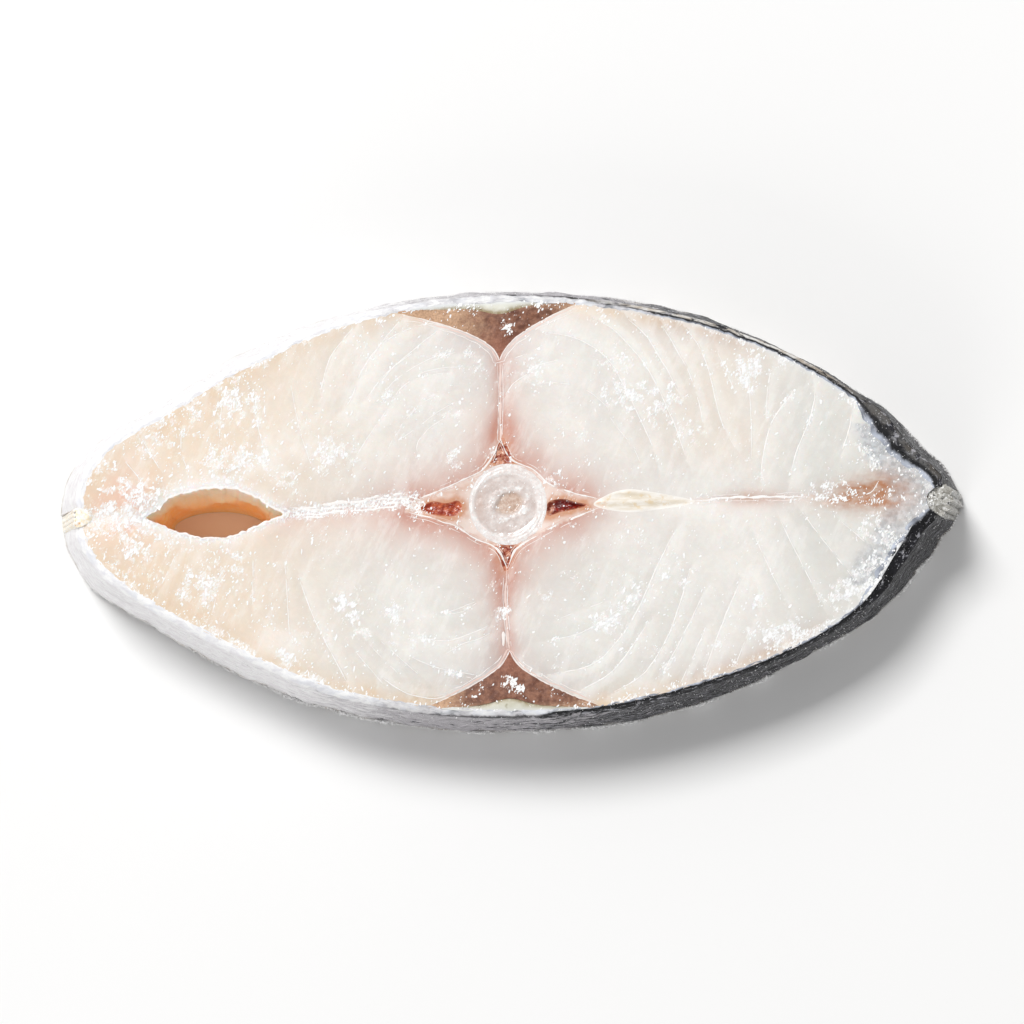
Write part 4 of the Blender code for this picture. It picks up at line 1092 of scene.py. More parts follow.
def make_flesh():
    reach = (BONE_U, BONE_V)
    holes = [
        ellipse((0.0, 0.0), reach, 110)[::-1],
        smooth(HAEMAL_POCKET, OUTLINE_STEP, True),
        smooth(NEURAL_POCKET, OUTLINE_STEP, True),
        spine_loop()[::-1],
        side_blood_loop(1)[::-1],
        side_blood_loop(-1)[::-1],
        cavity_lip()[::-1],
    ]
    loops = [flesh_loop()] + holes
    feet = loops[:-1] + [cavity_foot()[::-1]]
    levels = [2] * (len(loops) - 1) + [CAVITY_ROWS]

    def fold(at, share):
        u, v = at[:, 0], at[:, 1]
        deep = math.sin(math.pi * share)
        wave = np.sin(7.0 * share + 0.33 * u) * 0.45 + 0.25 * np.sin(15.0 * share - 0.9 * u + 1.0)
        wave += 0.28 * noise(u, np.full(u.shape, share * 20), 2.6, 60, 2)
        away = np.where(v > CAVITY_MIDDLE[1], 1.0, -1.0) * bell(u - CAVITY_MIDDLE[0], 11.0, 4)
        return np.column_stack([u, v + deep * wave * away])

    points, faces = slab(loops, TOP, ground, FLESH_STEP, FLESH_BASE_STEP, feet, levels, fold)
    u, v, z, share = points.T
    fields = flesh_fields(u, v, np.maximum(share, 0.0))
    return piece("flesh_dressed", place(u, v, z), faces, flesh_look(), ("flesh",), fields)


# Strips of connective tissue
class Ribbons:
    """Narrow raised strips on a cut face, gathered into one mesh."""

    def __init__(self):
        self.rows, self.faces, self.count = [], [], 0

    def add(self, line, width, warm, broken, lift, seed, wander):
        """One strip; `broken` leaves parts out, and `wander` moves it to and fro."""
        path = np.array(evenly(line, RIBBON_STEP))
        u, v = path[:, 0], path[:, 1]
        way = np.gradient(path, axis=0)
        way /= np.maximum(np.hypot(way[:, 0], way[:, 1]), 1e-9)[:, None]
        side = np.stack([way[:, 1], -way[:, 0]], axis=1)
        path = path + side * (wander * noise(u, v, 2.4, seed + 70, 2))[:, None]
        u, v = path[:, 0], path[:, 1]
        length = len(path)
        run = np.arange(length) / (length - 1)
        half = width / 2 * (0.8 + 0.5 * noise(u, v, 1.1, seed + 71, 2))
        half = half * np.minimum(1.0, 6 * np.minimum(run, 1 - run) + 0.15)
        if broken:
            half = half * ease(noise(u, v, 1.8, seed + 72, 2), broken - 1.0, broken - 0.7)
        for across, up in ((-1.0, -0.05), (-0.5, lift), (0.5, lift), (1.0, -0.05)):
            at = path + side * (half * across)[:, None]
            up = np.where(half > 0.03, up, -0.25)
            self.rows.append(np.column_stack([at, up, np.full(length, warm)]))
        i = self.count + np.arange(length - 1)
        for k in range(4):
            low, high = i + k * length, i + (k + 1) % 4 * length
            self.faces.append(np.column_stack([low, high, high + 1, low + 1]))
        for end, turn in ((0, -1), (length - 1, 1)):
            cap = self.count + end + length * np.arange(4)[::turn]
            self.faces.append(cap[None, :])
        self.count += 4 * length

    def beside(self, line, strips, k=0, turn=1):
        """Strips next to a line: how far to its right, and what `add` takes."""
        for away, width, warm, broken, lift, seed, wander in strips:
            path = offset(line, away * turn, False) if away else line
            self.add(path, width, warm, broken, lift, seed + k, wander)

    def on_cut(self, upper):
        """Points, faces and warmth of the strips on the upper or on the lower cut."""
        u, v, up, warm = np.concatenate(self.rows).T
        faces = np.concatenate(self.faces)
        if upper:
            return place(u, v, np.minimum(TOP(u, v) + up, THICKNESS)), faces, warm
        return place(u, v, np.maximum(0.045 - up, 0.0)), faces[:, ::-1], warm


def membrane_look():
    look = Look("connective_tissue", 0.45, specular=0.3)
    colour = look.mix(look.field("warm"), (255, 253, 251), (222, 168, 148))
    fibre = look.noise(0.5, 2.0)
    colour = look.mix(look.ramp(fibre, 0.35, 0.7, 0.2, 0.0), colour, (228, 214, 204))
    return look.finish(colour, None, look.bump(fibre, 0.04, 0.3))


def tissue_strips(ring):
    """The strips of one cut face, with the ring round the cavity there."""
    ribbons = Ribbons()
    for k, (line, strength, _) in enumerate(SEAM_LINES):
        ribbons.add(line, 0.14 + 0.24 * strength, 0.0, 0.8 - 0.45 * strength, 0.015, k, 0.1)
    for k, line in enumerate(STAR):
        ribbons.beside(line, STAR_STRIPS, k)
    for k, dark in enumerate((DARK_UPPER, DARK_LOWER)):
        ribbons.beside(arch_line(dark), ARCH_STRIPS, k, dark["side"])
    for k, line in enumerate((UPPER_SEPTUM[:-1] + [(-1.4, 12.6)], [(-0.3, -12.4)] + LOWER_SEPTUM[2:])):
        ribbons.beside(smooth(line, 0.5, False), SEPTUM_STRIPS, k)
    ribbons.add([(-0.8, -23.6), (-0.9, -26.4)], 1.0, 0.1, 0.0, 0.03, 158, 0.1)
    ribbons.beside(smooth(BELLY_SEPTUM, 0.5, False), BELLY_STRIPS)
    ribbons.beside(smooth([(34.4, 0.6)] + BACK_SEPTUM[2:-1], 0.5, False), BACK_STRIPS)
    ribbons.beside(ring, RING_STRIPS)
    return ribbons


def make_membranes():
    foot = cavity_foot()
    over, faces, warm = tissue_strips(LIP_RING).on_cut(True)
    under, faces_below, warm_below = tissue_strips(offset(foot + foot[:1], 0.4, False)).on_cut(False)
    return piece(
        "connective_tissue", np.concatenate([over, under]), [faces, faces_below + len(over)], membrane_look(),
        (), {"warm": np.concatenate([warm, warm_below])},
    )


# Frost
def lumps(u, v, z, size, rng):
    """Small eight-sided lumps at the given places, each turned its own way."""
    count = len(u)
    turns = rng.normal(size=(count, 4))
    turns /= np.linalg.norm(turns, axis=1)[:, None]
    w, x, y, q = turns.T
    rows = np.stack([
        np.stack([1 - 2 * (y * y + q * q), 2 * (x * y - w * q), 2 * (x * q + w * y)], axis=1),
        np.stack([2 * (x * y + w * q), 1 - 2 * (x * x + q * q), 2 * (y * q - w * x)], axis=1),
        np.stack([2 * (x * q - w * y), 2 * (y * q + w * x), 1 - 2 * (x * x + y * y)], axis=1),
    ], axis=1)
    shape = np.array([(1, 0, 0), (-1, 0, 0), (0, 1, 0), (0, -1, 0), (0, 0, 1), (0, 0, -1)], float)
    shape = shape * np.array([1.25, 1.0, 0.8])
    corners = np.einsum("nij,kj->nki", rows, shape) * (size * MM)[:, None, None]
    corners = corners * (1 + 0.25 * rng.uniform(-1, 1, (count, 6, 1)))
    points = (place(u, v, z)[:, None, :] + corners).reshape(-1, 3)
    tri = np.array([(0, 2, 4), (2, 1, 4), (1, 3, 4), (3, 0, 4), (2, 0, 5), (1, 2, 5), (3, 1, 5), (0, 3, 5)])
    faces = (tri[None] + 6 * np.arange(count)[:, None, None]).reshape(-1, 3)
    points[:, 2] = np.clip(points[:, 2], 0.0, None)
    return points, faces


def flakes(u, v, z, size, rng, facing=1):
    """Flat-topped five-sided grains set into a cut face, most of them drawn out one way."""
    count, sides = len(u), 5
    angle = np.linspace(0, math.tau, sides, endpoint=False) + rng.uniform(0, math.tau, (count, 1))
    radius = size[:, None] * rng.uniform(0.6, 1.4, (count, sides))
    longer = rng.uniform(1.0, 2.2, (count, 1))
    lean = (1.1 + rng.normal(0, 0.4, count))[:, None]
    x, y = radius * np.cos(angle) * longer, radius * np.sin(angle) / np.sqrt(longer)
    at_u = u[:, None] + x * np.cos(lean) - y * np.sin(lean)
    at_v = v[:, None] + x * np.sin(lean) + y * np.cos(lean)
    tilt = rng.normal(0, 0.05, (2, count, 1))
    top = z[:, None] + facing * (tilt[0] * x + tilt[1] * y)
    rows_u, rows_v = np.column_stack([at_u, u]), np.column_stack([at_v, v])
    rows_z = np.column_stack([top, z - facing * (0.1 + 0.6 * size)])
    points = place(rows_u.ravel(), rows_v.ravel(), np.clip(rows_z.ravel(), 0.0, THICKNESS))
    i = np.arange(sides)
    lid = np.column_stack([0 * i[1:-1], i[1:-1], i[2:]])
    tri = np.concatenate([lid, np.column_stack([0 * i + sides, (i + 1) % sides, i])])
    faces = (tri[None] + (sides + 1) * np.arange(count)[:, None, None]).reshape(-1, 3)
    return points, faces[:, ::facing]


def frost_look():
    look = Look("frost", 0.5, specular=0.25)
    spark = look.noise(0.3, 1.0)
    return look.finish(look.mix(spark, (252, 252, 252), (255, 255, 255)))


def cut_height(u, v):
    """Height of the upper cut, the backbone and the fat included."""
    z = TOP(u, v)
    z = np.where(np.hypot(u / BONE_U, v / BONE_V) < 1.0, bone_shape(u, v)[0], z)
    for dark in (DARK_UPPER, DARK_LOWER):
        z = np.where(within(u, v, fat_loop(dark)), THICKNESS - 0.4, z)
        z = np.where(within(u, v, dark_loop(dark)), wedge_height(u, v), z)
    return z


def make_frost(name, count, seed, upper, limit):
    """Grains scattered over one cut face, thick where the frost is."""
    rng = np.random.default_rng(seed)
    u, v = rng.uniform(*FROST_U, count), rng.uniform(*FROST_V, count)
    keep = within(u, v, offset(EDGE, -0.15)) & ~within(u, v, cavity_lip() if upper else cavity_foot())
    u, v = u[keep], v[keep]
    density = np.where(np.hypot(u / BONE_U, v / BONE_V) < 1.0, 0.06, DENSITY(u, v))
    keep = rng.uniform(0, 1.25, len(u)) < density**1.2
    u, v, density = u[keep][:limit], v[keep][:limit], density[keep][:limit]
    size = np.clip(rng.lognormal(-2.05, 0.42, len(u)), 0.06, 0.34) * (0.8 + 0.5 * np.clip(density, 0, 1))
    if upper:
        points, faces = flakes(u, v, cut_height(u, v) + 0.035, size, rng)
    else:
        points, faces = flakes(u, v, np.full(u.shape, 0.03), size, rng, -1)
    return piece(name, points, [faces], frost_look(), flat=True)


# Backbone
def bone_shape(u, v):
    """Height of the vertebra's upper cut, and how far a point is in its ring and its hollow."""
    share, turn = np.hypot(u / BONE_U, v / BONE_V), np.arctan2(v, u)
    inner = 1 - (1.5 + 0.35 * np.cos(turn) + 0.35 * np.sin(turn) ** 2) / 7.4
    ring = ease(share - inner + 0.03 * noise(u, v, 2.0, 59), -0.05, 0.06)
    x, y = u - 0.3, v - 0.2
    across = np.hypot((x * 0.87 + y * 0.5) / 3.0, (y * 0.87 - x * 0.5) / 2.2)
    across += 0.16 * noise(u, v, 2.0, 60, 3)
    hollow = 1 - ease(across, 0.7, 1.05)
    brim = bell(across - 1.25, 0.2)
    z = THICKNESS - 0.9 + 0.16 * ring - 0.45 * hollow + 0.05 * brim
    z = z + 0.07 * noise(u, v, 1.3, 61, 3) + 0.02 * ring * np.sin(share * 75 + 2 * turn)
    z += (TOP(u, v) - z) * ease(share, 0.9, 1.0)
    return z, ring, hollow, brim


def bone_look():
    look = Look("backbone", 0.24, coat=0.3, specular=0.45)
    look.glow(0.3, 0.6, (1.0, 0.82, 0.75))
    cloud = look.noise(2.4, 3.0, 0.6)
    disc = look.between(cloud, 0.35, 0.65, (213, 198, 192), (230, 221, 217))
    streak = look.noise(0.7, 4.0, 0.65)
    ring = look.between(streak, 0.35, 0.65, (232, 221, 217), (247, 244, 242))
    colour = look.mix(look.field("ring"), disc, ring)
    colour = look.mix(look.field("left"), colour, (206, 180, 168))
    well = look.between(streak, 0.35, 0.7, (198, 168, 150), (228, 208, 194))
    colour = look.mix(look.field("hollow"), colour, well)
    shine = look.times(look.field("brim"), look.ramp(look.noise(1.6, 4.0, 0.7), 0.48, 0.6, 0.0, 0.9))
    colour = look.mix(shine, colour, (252, 251, 250))
    ice = look.ramp(look.noise(0.45, 3.0, 0.7), 0.62, 0.7, 0.0, 0.75)
    colour = look.mix(ice, colour, FROST_WHITE)
    wet = look.noise(1.0, 3.0, 0.65)
    return look.finish(colour, look.ramp(wet, 0.3, 0.7, 0.1, 0.38), look.bump(wet, 0.22, 0.5))


def make_backbone():
    """The vertebra: a pale ring round a duller disc with a hollow, on both cut faces."""
    turns = np.linspace(0, math.tau, BONE_SPOKES, endpoint=False)
    shares = np.concatenate([np.linspace(0.012, 0.97, BONE_ROWS), [0.985, 1.0]])
    share, turn = np.meshgrid(shares, turns, indexing="ij")
    u, v = (BONE_U * share * np.cos(turn)).ravel(), (BONE_V * share * np.sin(turn)).ravel()
    u, v = np.append(u, 0.0), np.append(v, 0.0)
    top, ring, hollow, brim = bone_shape(u, v)
    low = np.maximum(0.05 + (THICKNESS - 0.5 - top) * 0.6, 0.02)
    faces, i = [], np.arange(len(turns))
    j = (i + 1) % len(turns)
    for k in range(len(shares) - 1):
        a, b = k * len(turns), (k + 1) * len(turns)
        faces.append(np.column_stack([a + i, b + i, b + j, a + j]))
    quads, last, total = np.concatenate(faces), (len(shares) - 1) * len(turns), len(u)
    wall = np.column_stack([last + i, last + i + total, last + j + total, last + j])
    tris = np.column_stack([np.full(len(turns), total - 1), i, j])
    points = np.concatenate([place(u, v, top), place(u, v, low)])
    left = bell(u + 5.2, 1.1) * bell(v + 0.2, 3.0) * (1 - ring)
    fields = {"ring": ring, "hollow": hollow, "brim": brim, "left": 0.6 * left}
    fields = {key: np.clip(np.concatenate([value, value]), 0, 1) for key, value in fields.items()}
    quads = np.concatenate([quads, quads[:, ::-1] + total, wall])
    faces = [quads, np.concatenate([tris, tris[:, ::-1] + total])]
    return piece("backbone_dressed", points, faces, bone_look(), ("backbone",), fields)



# Pieces set into the flesh
def blood_look():
    look = Look("frozen_blood", 0.3, coat=0.25)
    look.glow(0.15, 0.3, (1.0, 0.4, 0.3))
    lump = look.noise(0.9, 3.0, 0.6)
    colour = look.between(lump, 0.35, 0.7, (150, 42, 20), (204, 104, 66))
    night = look.between(lump, 0.4, 0.75, (96, 6, 3), (158, 36, 20))
    colour = look.mix(look.field("deep"), colour, night)
    crumble = look.between(lump, 0.42, 0.6, (142, 58, 36), (222, 166, 138))
    colour = look.mix(look.field("tissue"), colour, crumble)
    colour = look.mix(look.field("edge"), colour, (200, 124, 88))
    ice = look.ramp(look.noise(0.5, 2.0, 0.6), 0.63, 0.7, 0.0, 0.7)
    colour = look.mix(look.times(ice, look.field("icy")), colour, (244, 232, 228))
    return look.finish(colour, None, look.bump(lump, 0.4, 0.7))


def make_blood(node, loop, deep, tissue, depth, look):
    """A pocket of frozen blood; `deep` darkens it and `tissue` fills it with pale crumbs."""

    def top(u, v):
        gap = gap_to(u, v, loop)
        rough = 0.28 * noise(u, v, 0.8, 64, 3) + 0.08 * noise(u, v, 0.3, 65)
        return TOP(u, v) - depth * ease(gap, 0.0, 0.9) + rough * ease(gap, 0.0, 0.4)

    def fields(u, v):
        gap = gap_to(u, v, loop)
        ends = 0.7 * ease(np.abs(u - 11.2) - 2.3, 0.0, 0.9) if deep else 0.0
        pale = np.clip(tissue + 0.5 * noise(u, v, 1.2, 58, 2), 0, 1) if tissue else ends
        return {
            "deep": np.full(u.shape, deep), "tissue": pale + 0 * u,
            "edge": 0.7 * bell(gap, 0.2 + 0.18 * noise(u, v, 0.9, 53, 2)), "icy": 0.15 + 0.7 * bell(gap, 0.5),
        }

    return core(node, loop, look, top, BLOOD_STEP, fields)


def dark_look():
    look = Look("dark_muscle", 0.5)
    fibre = look.noise(1.5, 4.0, 0.65)
    fine = look.noise(0.4, 3.0, 0.7)
    colour = look.between(fibre, 0.32, 0.66, (101, 58, 42), (157, 109, 85))
    colour = look.mix(look.field("tip"), colour, (166, 108, 86))
    colour = look.mix(look.field("arm"), colour, (214, 174, 140))
    colour = look.mix(look.ramp(fine, 0.38, 0.58, 0.35, 0.0), colour, (104, 66, 54))
    ice = look.plus(fine, look.times(look.field("frost"), 0.2))
    colour = look.mix(look.ramp(ice, 0.67, 0.77, 0.0, 0.75), colour, (246, 238, 234))
    return look.finish(colour, None, look.bump(fine, 0.25, 0.6))


def wedge_height(u, v):
    """Height of the dark muscle, which is rougher than the flesh."""
    return TOP(u, v) - 0.02 + 0.16 * noise(u, v, 1.3, 66, 3) + 0.07 * noise(u, v, 0.45, 67)


def make_dark_muscle(node, dark, look):
    """A wedge of dark muscle: brown in the middle, paler along its arms and at its tip."""
    high = dark["ends"][1]
    apex = dark["apex"]

    def fields(u, v):
        bend = 1 if dark["side"] > 0 else 6
        arm = np.maximum(0.7 * ease(u, high - 7, high - 1), ease(-u, bend, 13))
        arm = arm + 0.4 * noise(u, v, 1.2, 57, 2) * ease(arm, 0, 0.3)
        under = dark["side"] * v - (dark["side"] * flank_values(dark["side"], u) - 1.2)
        return {
            "arm": np.clip(arm, 0.45 * ease(under, -0.8, 0.6), 1),
            "tip": bell(np.hypot(u - apex[0], v - apex[1]), 4.4),
            "frost": np.clip(DENSITY(u, v), 0, 1),
        }

    return core(node, dark_loop(dark), look, wedge_height, MUSCLE_STEP, fields)


def flank_values(side, u):
    path = np.array([p for p in EDGE if side * p[1] > 4.0])
    path = path[np.argsort(path[:, 0])]
    return np.interp(u, path[:, 0], path[:, 1])


def fat_look():
    look = Look("subskin_fat", 0.42)
    look.glow(0.2, 0.3, (1.0, 0.95, 0.8))
    cloud = look.noise(2.0, 3.0)
    colour = look.between(cloud, 0.3, 0.7, (222, 221, 206), (240, 240, 231))
    fringe = look.times(look.field("under"), look.ramp(look.noise(0.6, 2.0), 0.3, 0.6, 0.4, 1.0))
    colour = look.mix(fringe, colour, (166, 146, 106))
    colour = look.mix(look.field("outer"), colour, (240, 243, 246))
    colour = look.mix(look.field("crack"), colour, (150, 142, 108))
    return look.finish(colour, None, look.bump(cloud, 0.15, 0.4))


def make_fat(node, dark, look):
    """The fat over a dark muscle, with a darker line under it; the lower one has a crack and is a little
    darker all over.
    """
    side = dark["side"]
    span = np.linspace(dark["ends"][0] + 2.7, dark["ends"][1] - 2.2, 40).tolist()
    line = [(a, flank(side, a) - side * fat_depth(dark, a)) for a in span]

    def under(u, v):
        return bell(away_from(u, v, line) + 0.2 * noise(u, v, 0.7, 69, 2), 0.6)

    def top(u, v):
        return THICKNESS - 0.42 + 0.06 * noise(u, v, 1.6, 68, 2) - 0.2 * under(u, v)

    def fields(u, v):
        gap = np.abs(flank_values(side, u) - v)
        crack = bell(u + 0.2 + 0.25 * noise(u, v, 0.6, 56, 2), 0.22) * bell(v + 37.3, 0.9)
        # The lower fat is mixed a little towards the crack's colour everywhere, so it is darker all over
        dull = 0.08 if side > 0 else 0.3
        return {"under": under(u, v), "outer": bell(gap, 0.6), "crack": np.maximum(0.8 * crack, dull)}

    return core(node, fat_loop(dark), look, top, MUSCLE_STEP, fields)


def make_spine():
    loop = spine_loop()

    def top(u, v):
        gap = gap_to(u, v, loop)
        ridge = 0.1 * np.sin(v * 3.4 + 0.8 * noise(u, v, 3.0, 72)) + 0.1 * noise(u * 0.35, v, 0.8, 73, 2)
        return TOP(u, v) + 0.01 + 0.1 * ease(gap, 0.0, 1.0) + ridge * ease(gap, 0.0, 0.7)

    def fields(u, v):
        gap = gap_to(u, v, loop)
        return {"edge": bell(gap, 0.45), "start": ease(-u, -19.0, -16.2)}

    look = Look("neural_spine", 0.36, coat=0.1)
    fibre = look.noise(0.8, 3.0, 0.6, look.stretched(0.25, 1.0))
    colour = look.between(fibre, 0.35, 0.65, (230, 218, 198), (245, 239, 230))
    spot = look.ramp(look.noise(1.3, 3.0), 0.56, 0.66, 0.0, 0.6)
    colour = look.mix(spot, colour, (230, 204, 160))
    start = look.times(look.field("start"), look.ramp(look.noise(0.9, 2.0), 0.35, 0.6))
    colour = look.mix(start, colour, (232, 178, 132))
    colour = look.mix(look.times(look.field("edge"), 0.8), colour, (253, 251, 248))
    look.finish(colour, None, look.bump(fibre, 0.15, 0.5))
    return core("neural_spine", loop, look, top, SPINE_STEP, fields)


# Skin, and how dark it is from belly to back
NIGHT_LOWER = [
    (-80.0, 0.0), (-46.0, 0.02), (-30.0, 0.2), (-14.0, 0.38), (4.0, 0.5),
    (14.0, 0.66), (26.0, 0.8), (42.0, 0.92), (60.0, 1.0), (80.0, 1.0),
]
NIGHT_UPPER = [
    (-80.0, 0.0), (-34.0, 0.0), (-16.0, 0.24), (8.0, 0.4),
    (20.0, 0.56), (34.0, 0.76), (48.0, 0.92), (80.0, 1.0),
]


def skin_look(name):
    look = Look(name, 0.42, specular=0.5)
    along, down, night = look.field("along"), look.field("down"), look.field("night")
    slant = look.plus(along, look.times(down, 0.7))

    def strip(length, width, detail, rough):
        at = look.joined(look.times(slant, 1 / length), look.times(down, 1 / width))
        return look.noise(1.0, detail, rough, at, 0.4)

    broad, streak = strip(5.0, 1.6, 4.0, 0.6), strip(2.6, 0.7, 5.0, 0.7)
    thread = strip(2.0, 0.3, 3.0, 0.7)
    swing = look.times(look.plus(broad, streak), 2.6)
    grey_at = look.plus(look.times(swing, 0.5), look.times(night, 2.6))
    black_at = look.plus(swing, look.times(night, 2.3))
    pale = look.between(streak, 0.4, 0.62, (255, 255, 255), (236, 232, 235))
    grey = look.between(thread, 0.4, 0.62, (146, 142, 147), (200, 196, 201))
    black = look.between(streak, 0.4, 0.6, (38, 38, 43), (10, 10, 12))
    colour = look.between(grey_at, 1.5, 2.3, pale, grey)
    night_share = look.ramp(black_at, 3.78, 4.02)
    colour = look.mix(night_share, colour, black)
    glint = look.math("SUBTRACT", thread, look.times(night, 0.12))
    silver = look.times(look.ramp(glint, 0.44, 0.53, 0.0, 0.9), night_share)
    colour = look.mix(silver, colour, (168, 168, 175))
    mirror = look.math("SUBTRACT", 0.55, look.times(night_share, 0.3))
    look.join(mirror, look.shader.inputs["Specular IOR Level"])
    line = look.times(look.field("line"), look.ramp(broad, 0.3, 0.44))
    colour = look.mix(line, colour, (24, 24, 27))
    rind = look.between(streak, 0.4, 0.6, (254, 254, 254), (234, 236, 242))
    rind = look.between(night, 0.4, 0.8, rind, (206, 213, 228))
    colour = look.mix(look.field("cut"), colour, rind)
    fringe = look.times(look.field("fringe"), look.ramp(streak, 0.38, 0.52))
    frosted = look.between(broad, 0.4, 0.6, (238, 236, 233), (190, 178, 164))
    colour = look.mix(fringe, colour, frosted)
    speck = look.ramp(look.noise(0.4, 2.0, 0.7), 0.65, 0.7, 0.0, 0.8)
    colour = look.mix(speck, colour, (244, 244, 246))
    normal = look.bump(broad, 0.4, 0.5)
    normal = look.bump(streak, 0.3, 0.8, normal)
    return look.finish(colour, look.ramp(streak, 0.3, 0.7, 0.25, 0.55), normal)


def skin_profile():
    """Steps round the skin's section: inner wall, cut rim, outer wall and foot."""
    rows = [("inner", 0.0), ("inner", 0.5), ("inner", 1.0)]
    rows += [("rim", share) for share in np.linspace(0.0, 0.95, RIM_ROWS).tolist()]
    rows += [("wall", share) for share in np.linspace(0.0, 1.0, WALL_ROWS).tolist()]
    return rows + [("foot", 0.35), ("foot", 0.75)]


def make_skin(name, node, side, start, stop, night_knots, look):
    """The skin of one flank: a pale cut rim, a folded wall with ice along its foot, a hidden inside."""
    first = nearest(EDGE, start)
    last = first + (nearest(EDGE, stop) - first) % len(EDGE)
    stations = np.arange(first, last + 0.5, 1.0)
    spots = np.array([edge_point(i) for i in stations])
    normals = np.array([edge_normal(i) for i in stations])
    u, v = spots[:, 0], spots[:, 1]
    along = stations * EDGE_STEP
    flat = 0 * along
    rim = np.array([knots_at(SKIN_RIM, a) for a in u])
    foot = np.array([knots_at(foot_table(side), a) for a in u])
    night = np.array([knots_at(night_knots, a) for a in u])
    near_end = np.minimum(along - along[0], along[-1] - along)
    rim = rim * (0.92 + 0.1 * noise(along, flat, 3.0, 75, 2)) * (0.6 + 0.4 * ease(near_end, 0.0, 1.6))
    foot += 0.22 * noise(along, flat, 2.4, 76, 3)
    wave = 0.3 * np.sin(u * 0.55 + v * 0.4) * np.sin(u * 0.21)
    flap = 1.6 * bell(u - 70.5, 5.0, 4) if side > 0 else 1.0 * bell(u - 70.0, 4.5, 4)
    inner = -0.3 - flap * (1 + 0.6 * noise(along, flat, 2.0, 73, 3)) + 0.34 * noise(along, flat, 1.0, 74, 3)
    lip = TOP(u + normals[:, 0] * inner, v + normals[:, 1] * inner) + 0.02
    shoulder = 1.3 if side < 0 else 0.35
    pale = 1.0 - 0.72 * ease(night, 0.3, 0.7)
    crest = np.minimum(lip + 0.16, THICKNESS - 0.1)
    points, downs, cuts, lines, fringes = [], [], [], [], []
    for part, share in skin_profile():
        cut = line = flat
        if part == "inner":
            away, z, down = inner, 0.4 + (lip - 1.0) * share, -1.0
            cut = flat + 1
        elif part == "rim":
            away = inner + (rim - inner) * share
            down = -1.0 + share
            z = lip + (crest - lip) * ease(np.array(share), 0.0, 0.7) - shoulder * share**2.2
            z += 0.08 * noise(along, flat + share * 3, 0.9, 77, 3) * (1 - share)
            edge = share + 0.2 * noise(along, flat + share, 1.2, 83, 3)
            cut = (1 - ease(edge, pale - 0.12, pale + 0.04)) * (0.6 + 0.5 * noise(along, flat, 1.6, 84, 2))
            line = bell(edge - pale - 0.18, 0.2) * ease(night, 0.12, 0.4)
        elif part == "wall":
            bulge = (SKIN_BULGE + wave) * math.sin(math.pi * share)
            down = THICKNESS * share
            away = rim + (foot - rim) * share + bulge
            fold = 0.2 * noise(along / 3.6, down / 1.1 + flat, 1.0, 78, 2)
            fold += 0.12 * noise(along / 1.0, down / 0.5 + flat, 1.0, 79, 2)
            away += fold * ease(np.array(share), 0.0, 0.06)
            high = crest - shoulder
            z = high + (0.3 - high) * share + 0.1 * noise(along, down + flat, 0.9, 80)
            if share > 0.9:
                z += (share - 0.9) * 3.5 * noise(along, flat, 1.3, 81, 2)
        else:
            away, z, down = foot * (1 - share), 0.25 + flat, THICKNESS
        z = np.clip(z, 0.05, THICKNESS)
        points.append(place(u + normals[:, 0] * away, v + normals[:, 1] * away, z))
        downs.append(down + flat)
        rough = 0.8 * noise(along, flat + down, 1.4, 82, 2)
        cuts.append(np.clip(cut, 0, 1))
        lines.append(np.clip(line, 0, 1))
        low = 0.85 * ease(down + 2.6 * rough, 16.0, 20.0)
        high = flat
        if side > 0:
            below = 0.9 * ease(down + 3.0 * rough, 7.0, 16.0)
            high = 0.95 * ease(share + 0.1 * rough, 0.5, 0.66) if part == "rim" else below
            high = high * ease(u, 10, 26) * (1 - 0.85 * ease(u, 56, 66))
        fringes.append(np.maximum(low * ease(np.array(share), 0.0, 0.1), high))
    rows, count = len(points), len(u)
    grid = np.arange(rows * count).reshape(rows, count)
    quads = []
    for k in range(rows):
        a, b = grid[k], grid[(k + 1) % rows]
        quads.append(np.column_stack([a[:-1], b[:-1], b[1:], a[1:]]))
    fields = {
        "along": np.tile(along, rows), "down": np.concatenate(downs), "night": np.tile(night, rows),
        "cut": np.concatenate(cuts), "line": np.concatenate(lines), "fringe": np.concatenate(fringes),
    }
    faces = [np.concatenate(quads), grid[::-1, 0][None, :], grid[:, -1][None, :]]
    return piece(name, np.concatenate(points), faces, look, (node,), fields)


def make_crumbs():
    """Ice crumbs that cling to the foot of the skin, and a grainy edge along the upper flank."""
    rng = np.random.default_rng(23)
    edge, normals = np.array(EDGE), np.array([edge_normal(i) for i in range(len(EDGE))])
    batches = []

    def cling(side, at_u, heights, sizes, out):
        flank_side = np.nonzero(side * (edge[:, 1] - 1.0) > 0)[0]
        i = flank_side[np.argmin(np.abs(edge[flank_side, 0][None, :] - at_u[:, None]), axis=1)]
        share = rng.uniform(*heights, len(at_u))
        rim = np.array([knots_at(SKIN_RIM, a) for a in edge[i, 0]])
        foot = np.array([knots_at(foot_table(side), a) for a in edge[i, 0]])
        away = rim + (foot - rim) * share + SKIN_BULGE * np.sin(math.pi * share) + out
        spots = edge[i] + normals[i] * away[:, None]
        z = np.maximum((THICKNESS - 0.8) * (1 - share), 0.3)
        batches.append(np.column_stack([spots, z, rng.uniform(*sizes, len(at_u))]))

    for at_u, count in CRUMB_HEAPS:
        cling(-1, rng.normal(at_u, 1.3, count), (0.84, 1.0), (0.18, 0.5), 0.25)
    for side, first, last, count, heights, sizes, out in LOOSE_CRUMBS:
        cling(side, rng.uniform(first, last, count), heights, sizes, out)
    u, v, z, size = np.concatenate(batches).T
    points, faces = lumps(u, v, z, size, rng)
    return piece("ice_crumbs", points, [faces], ice_look(), flat=True)


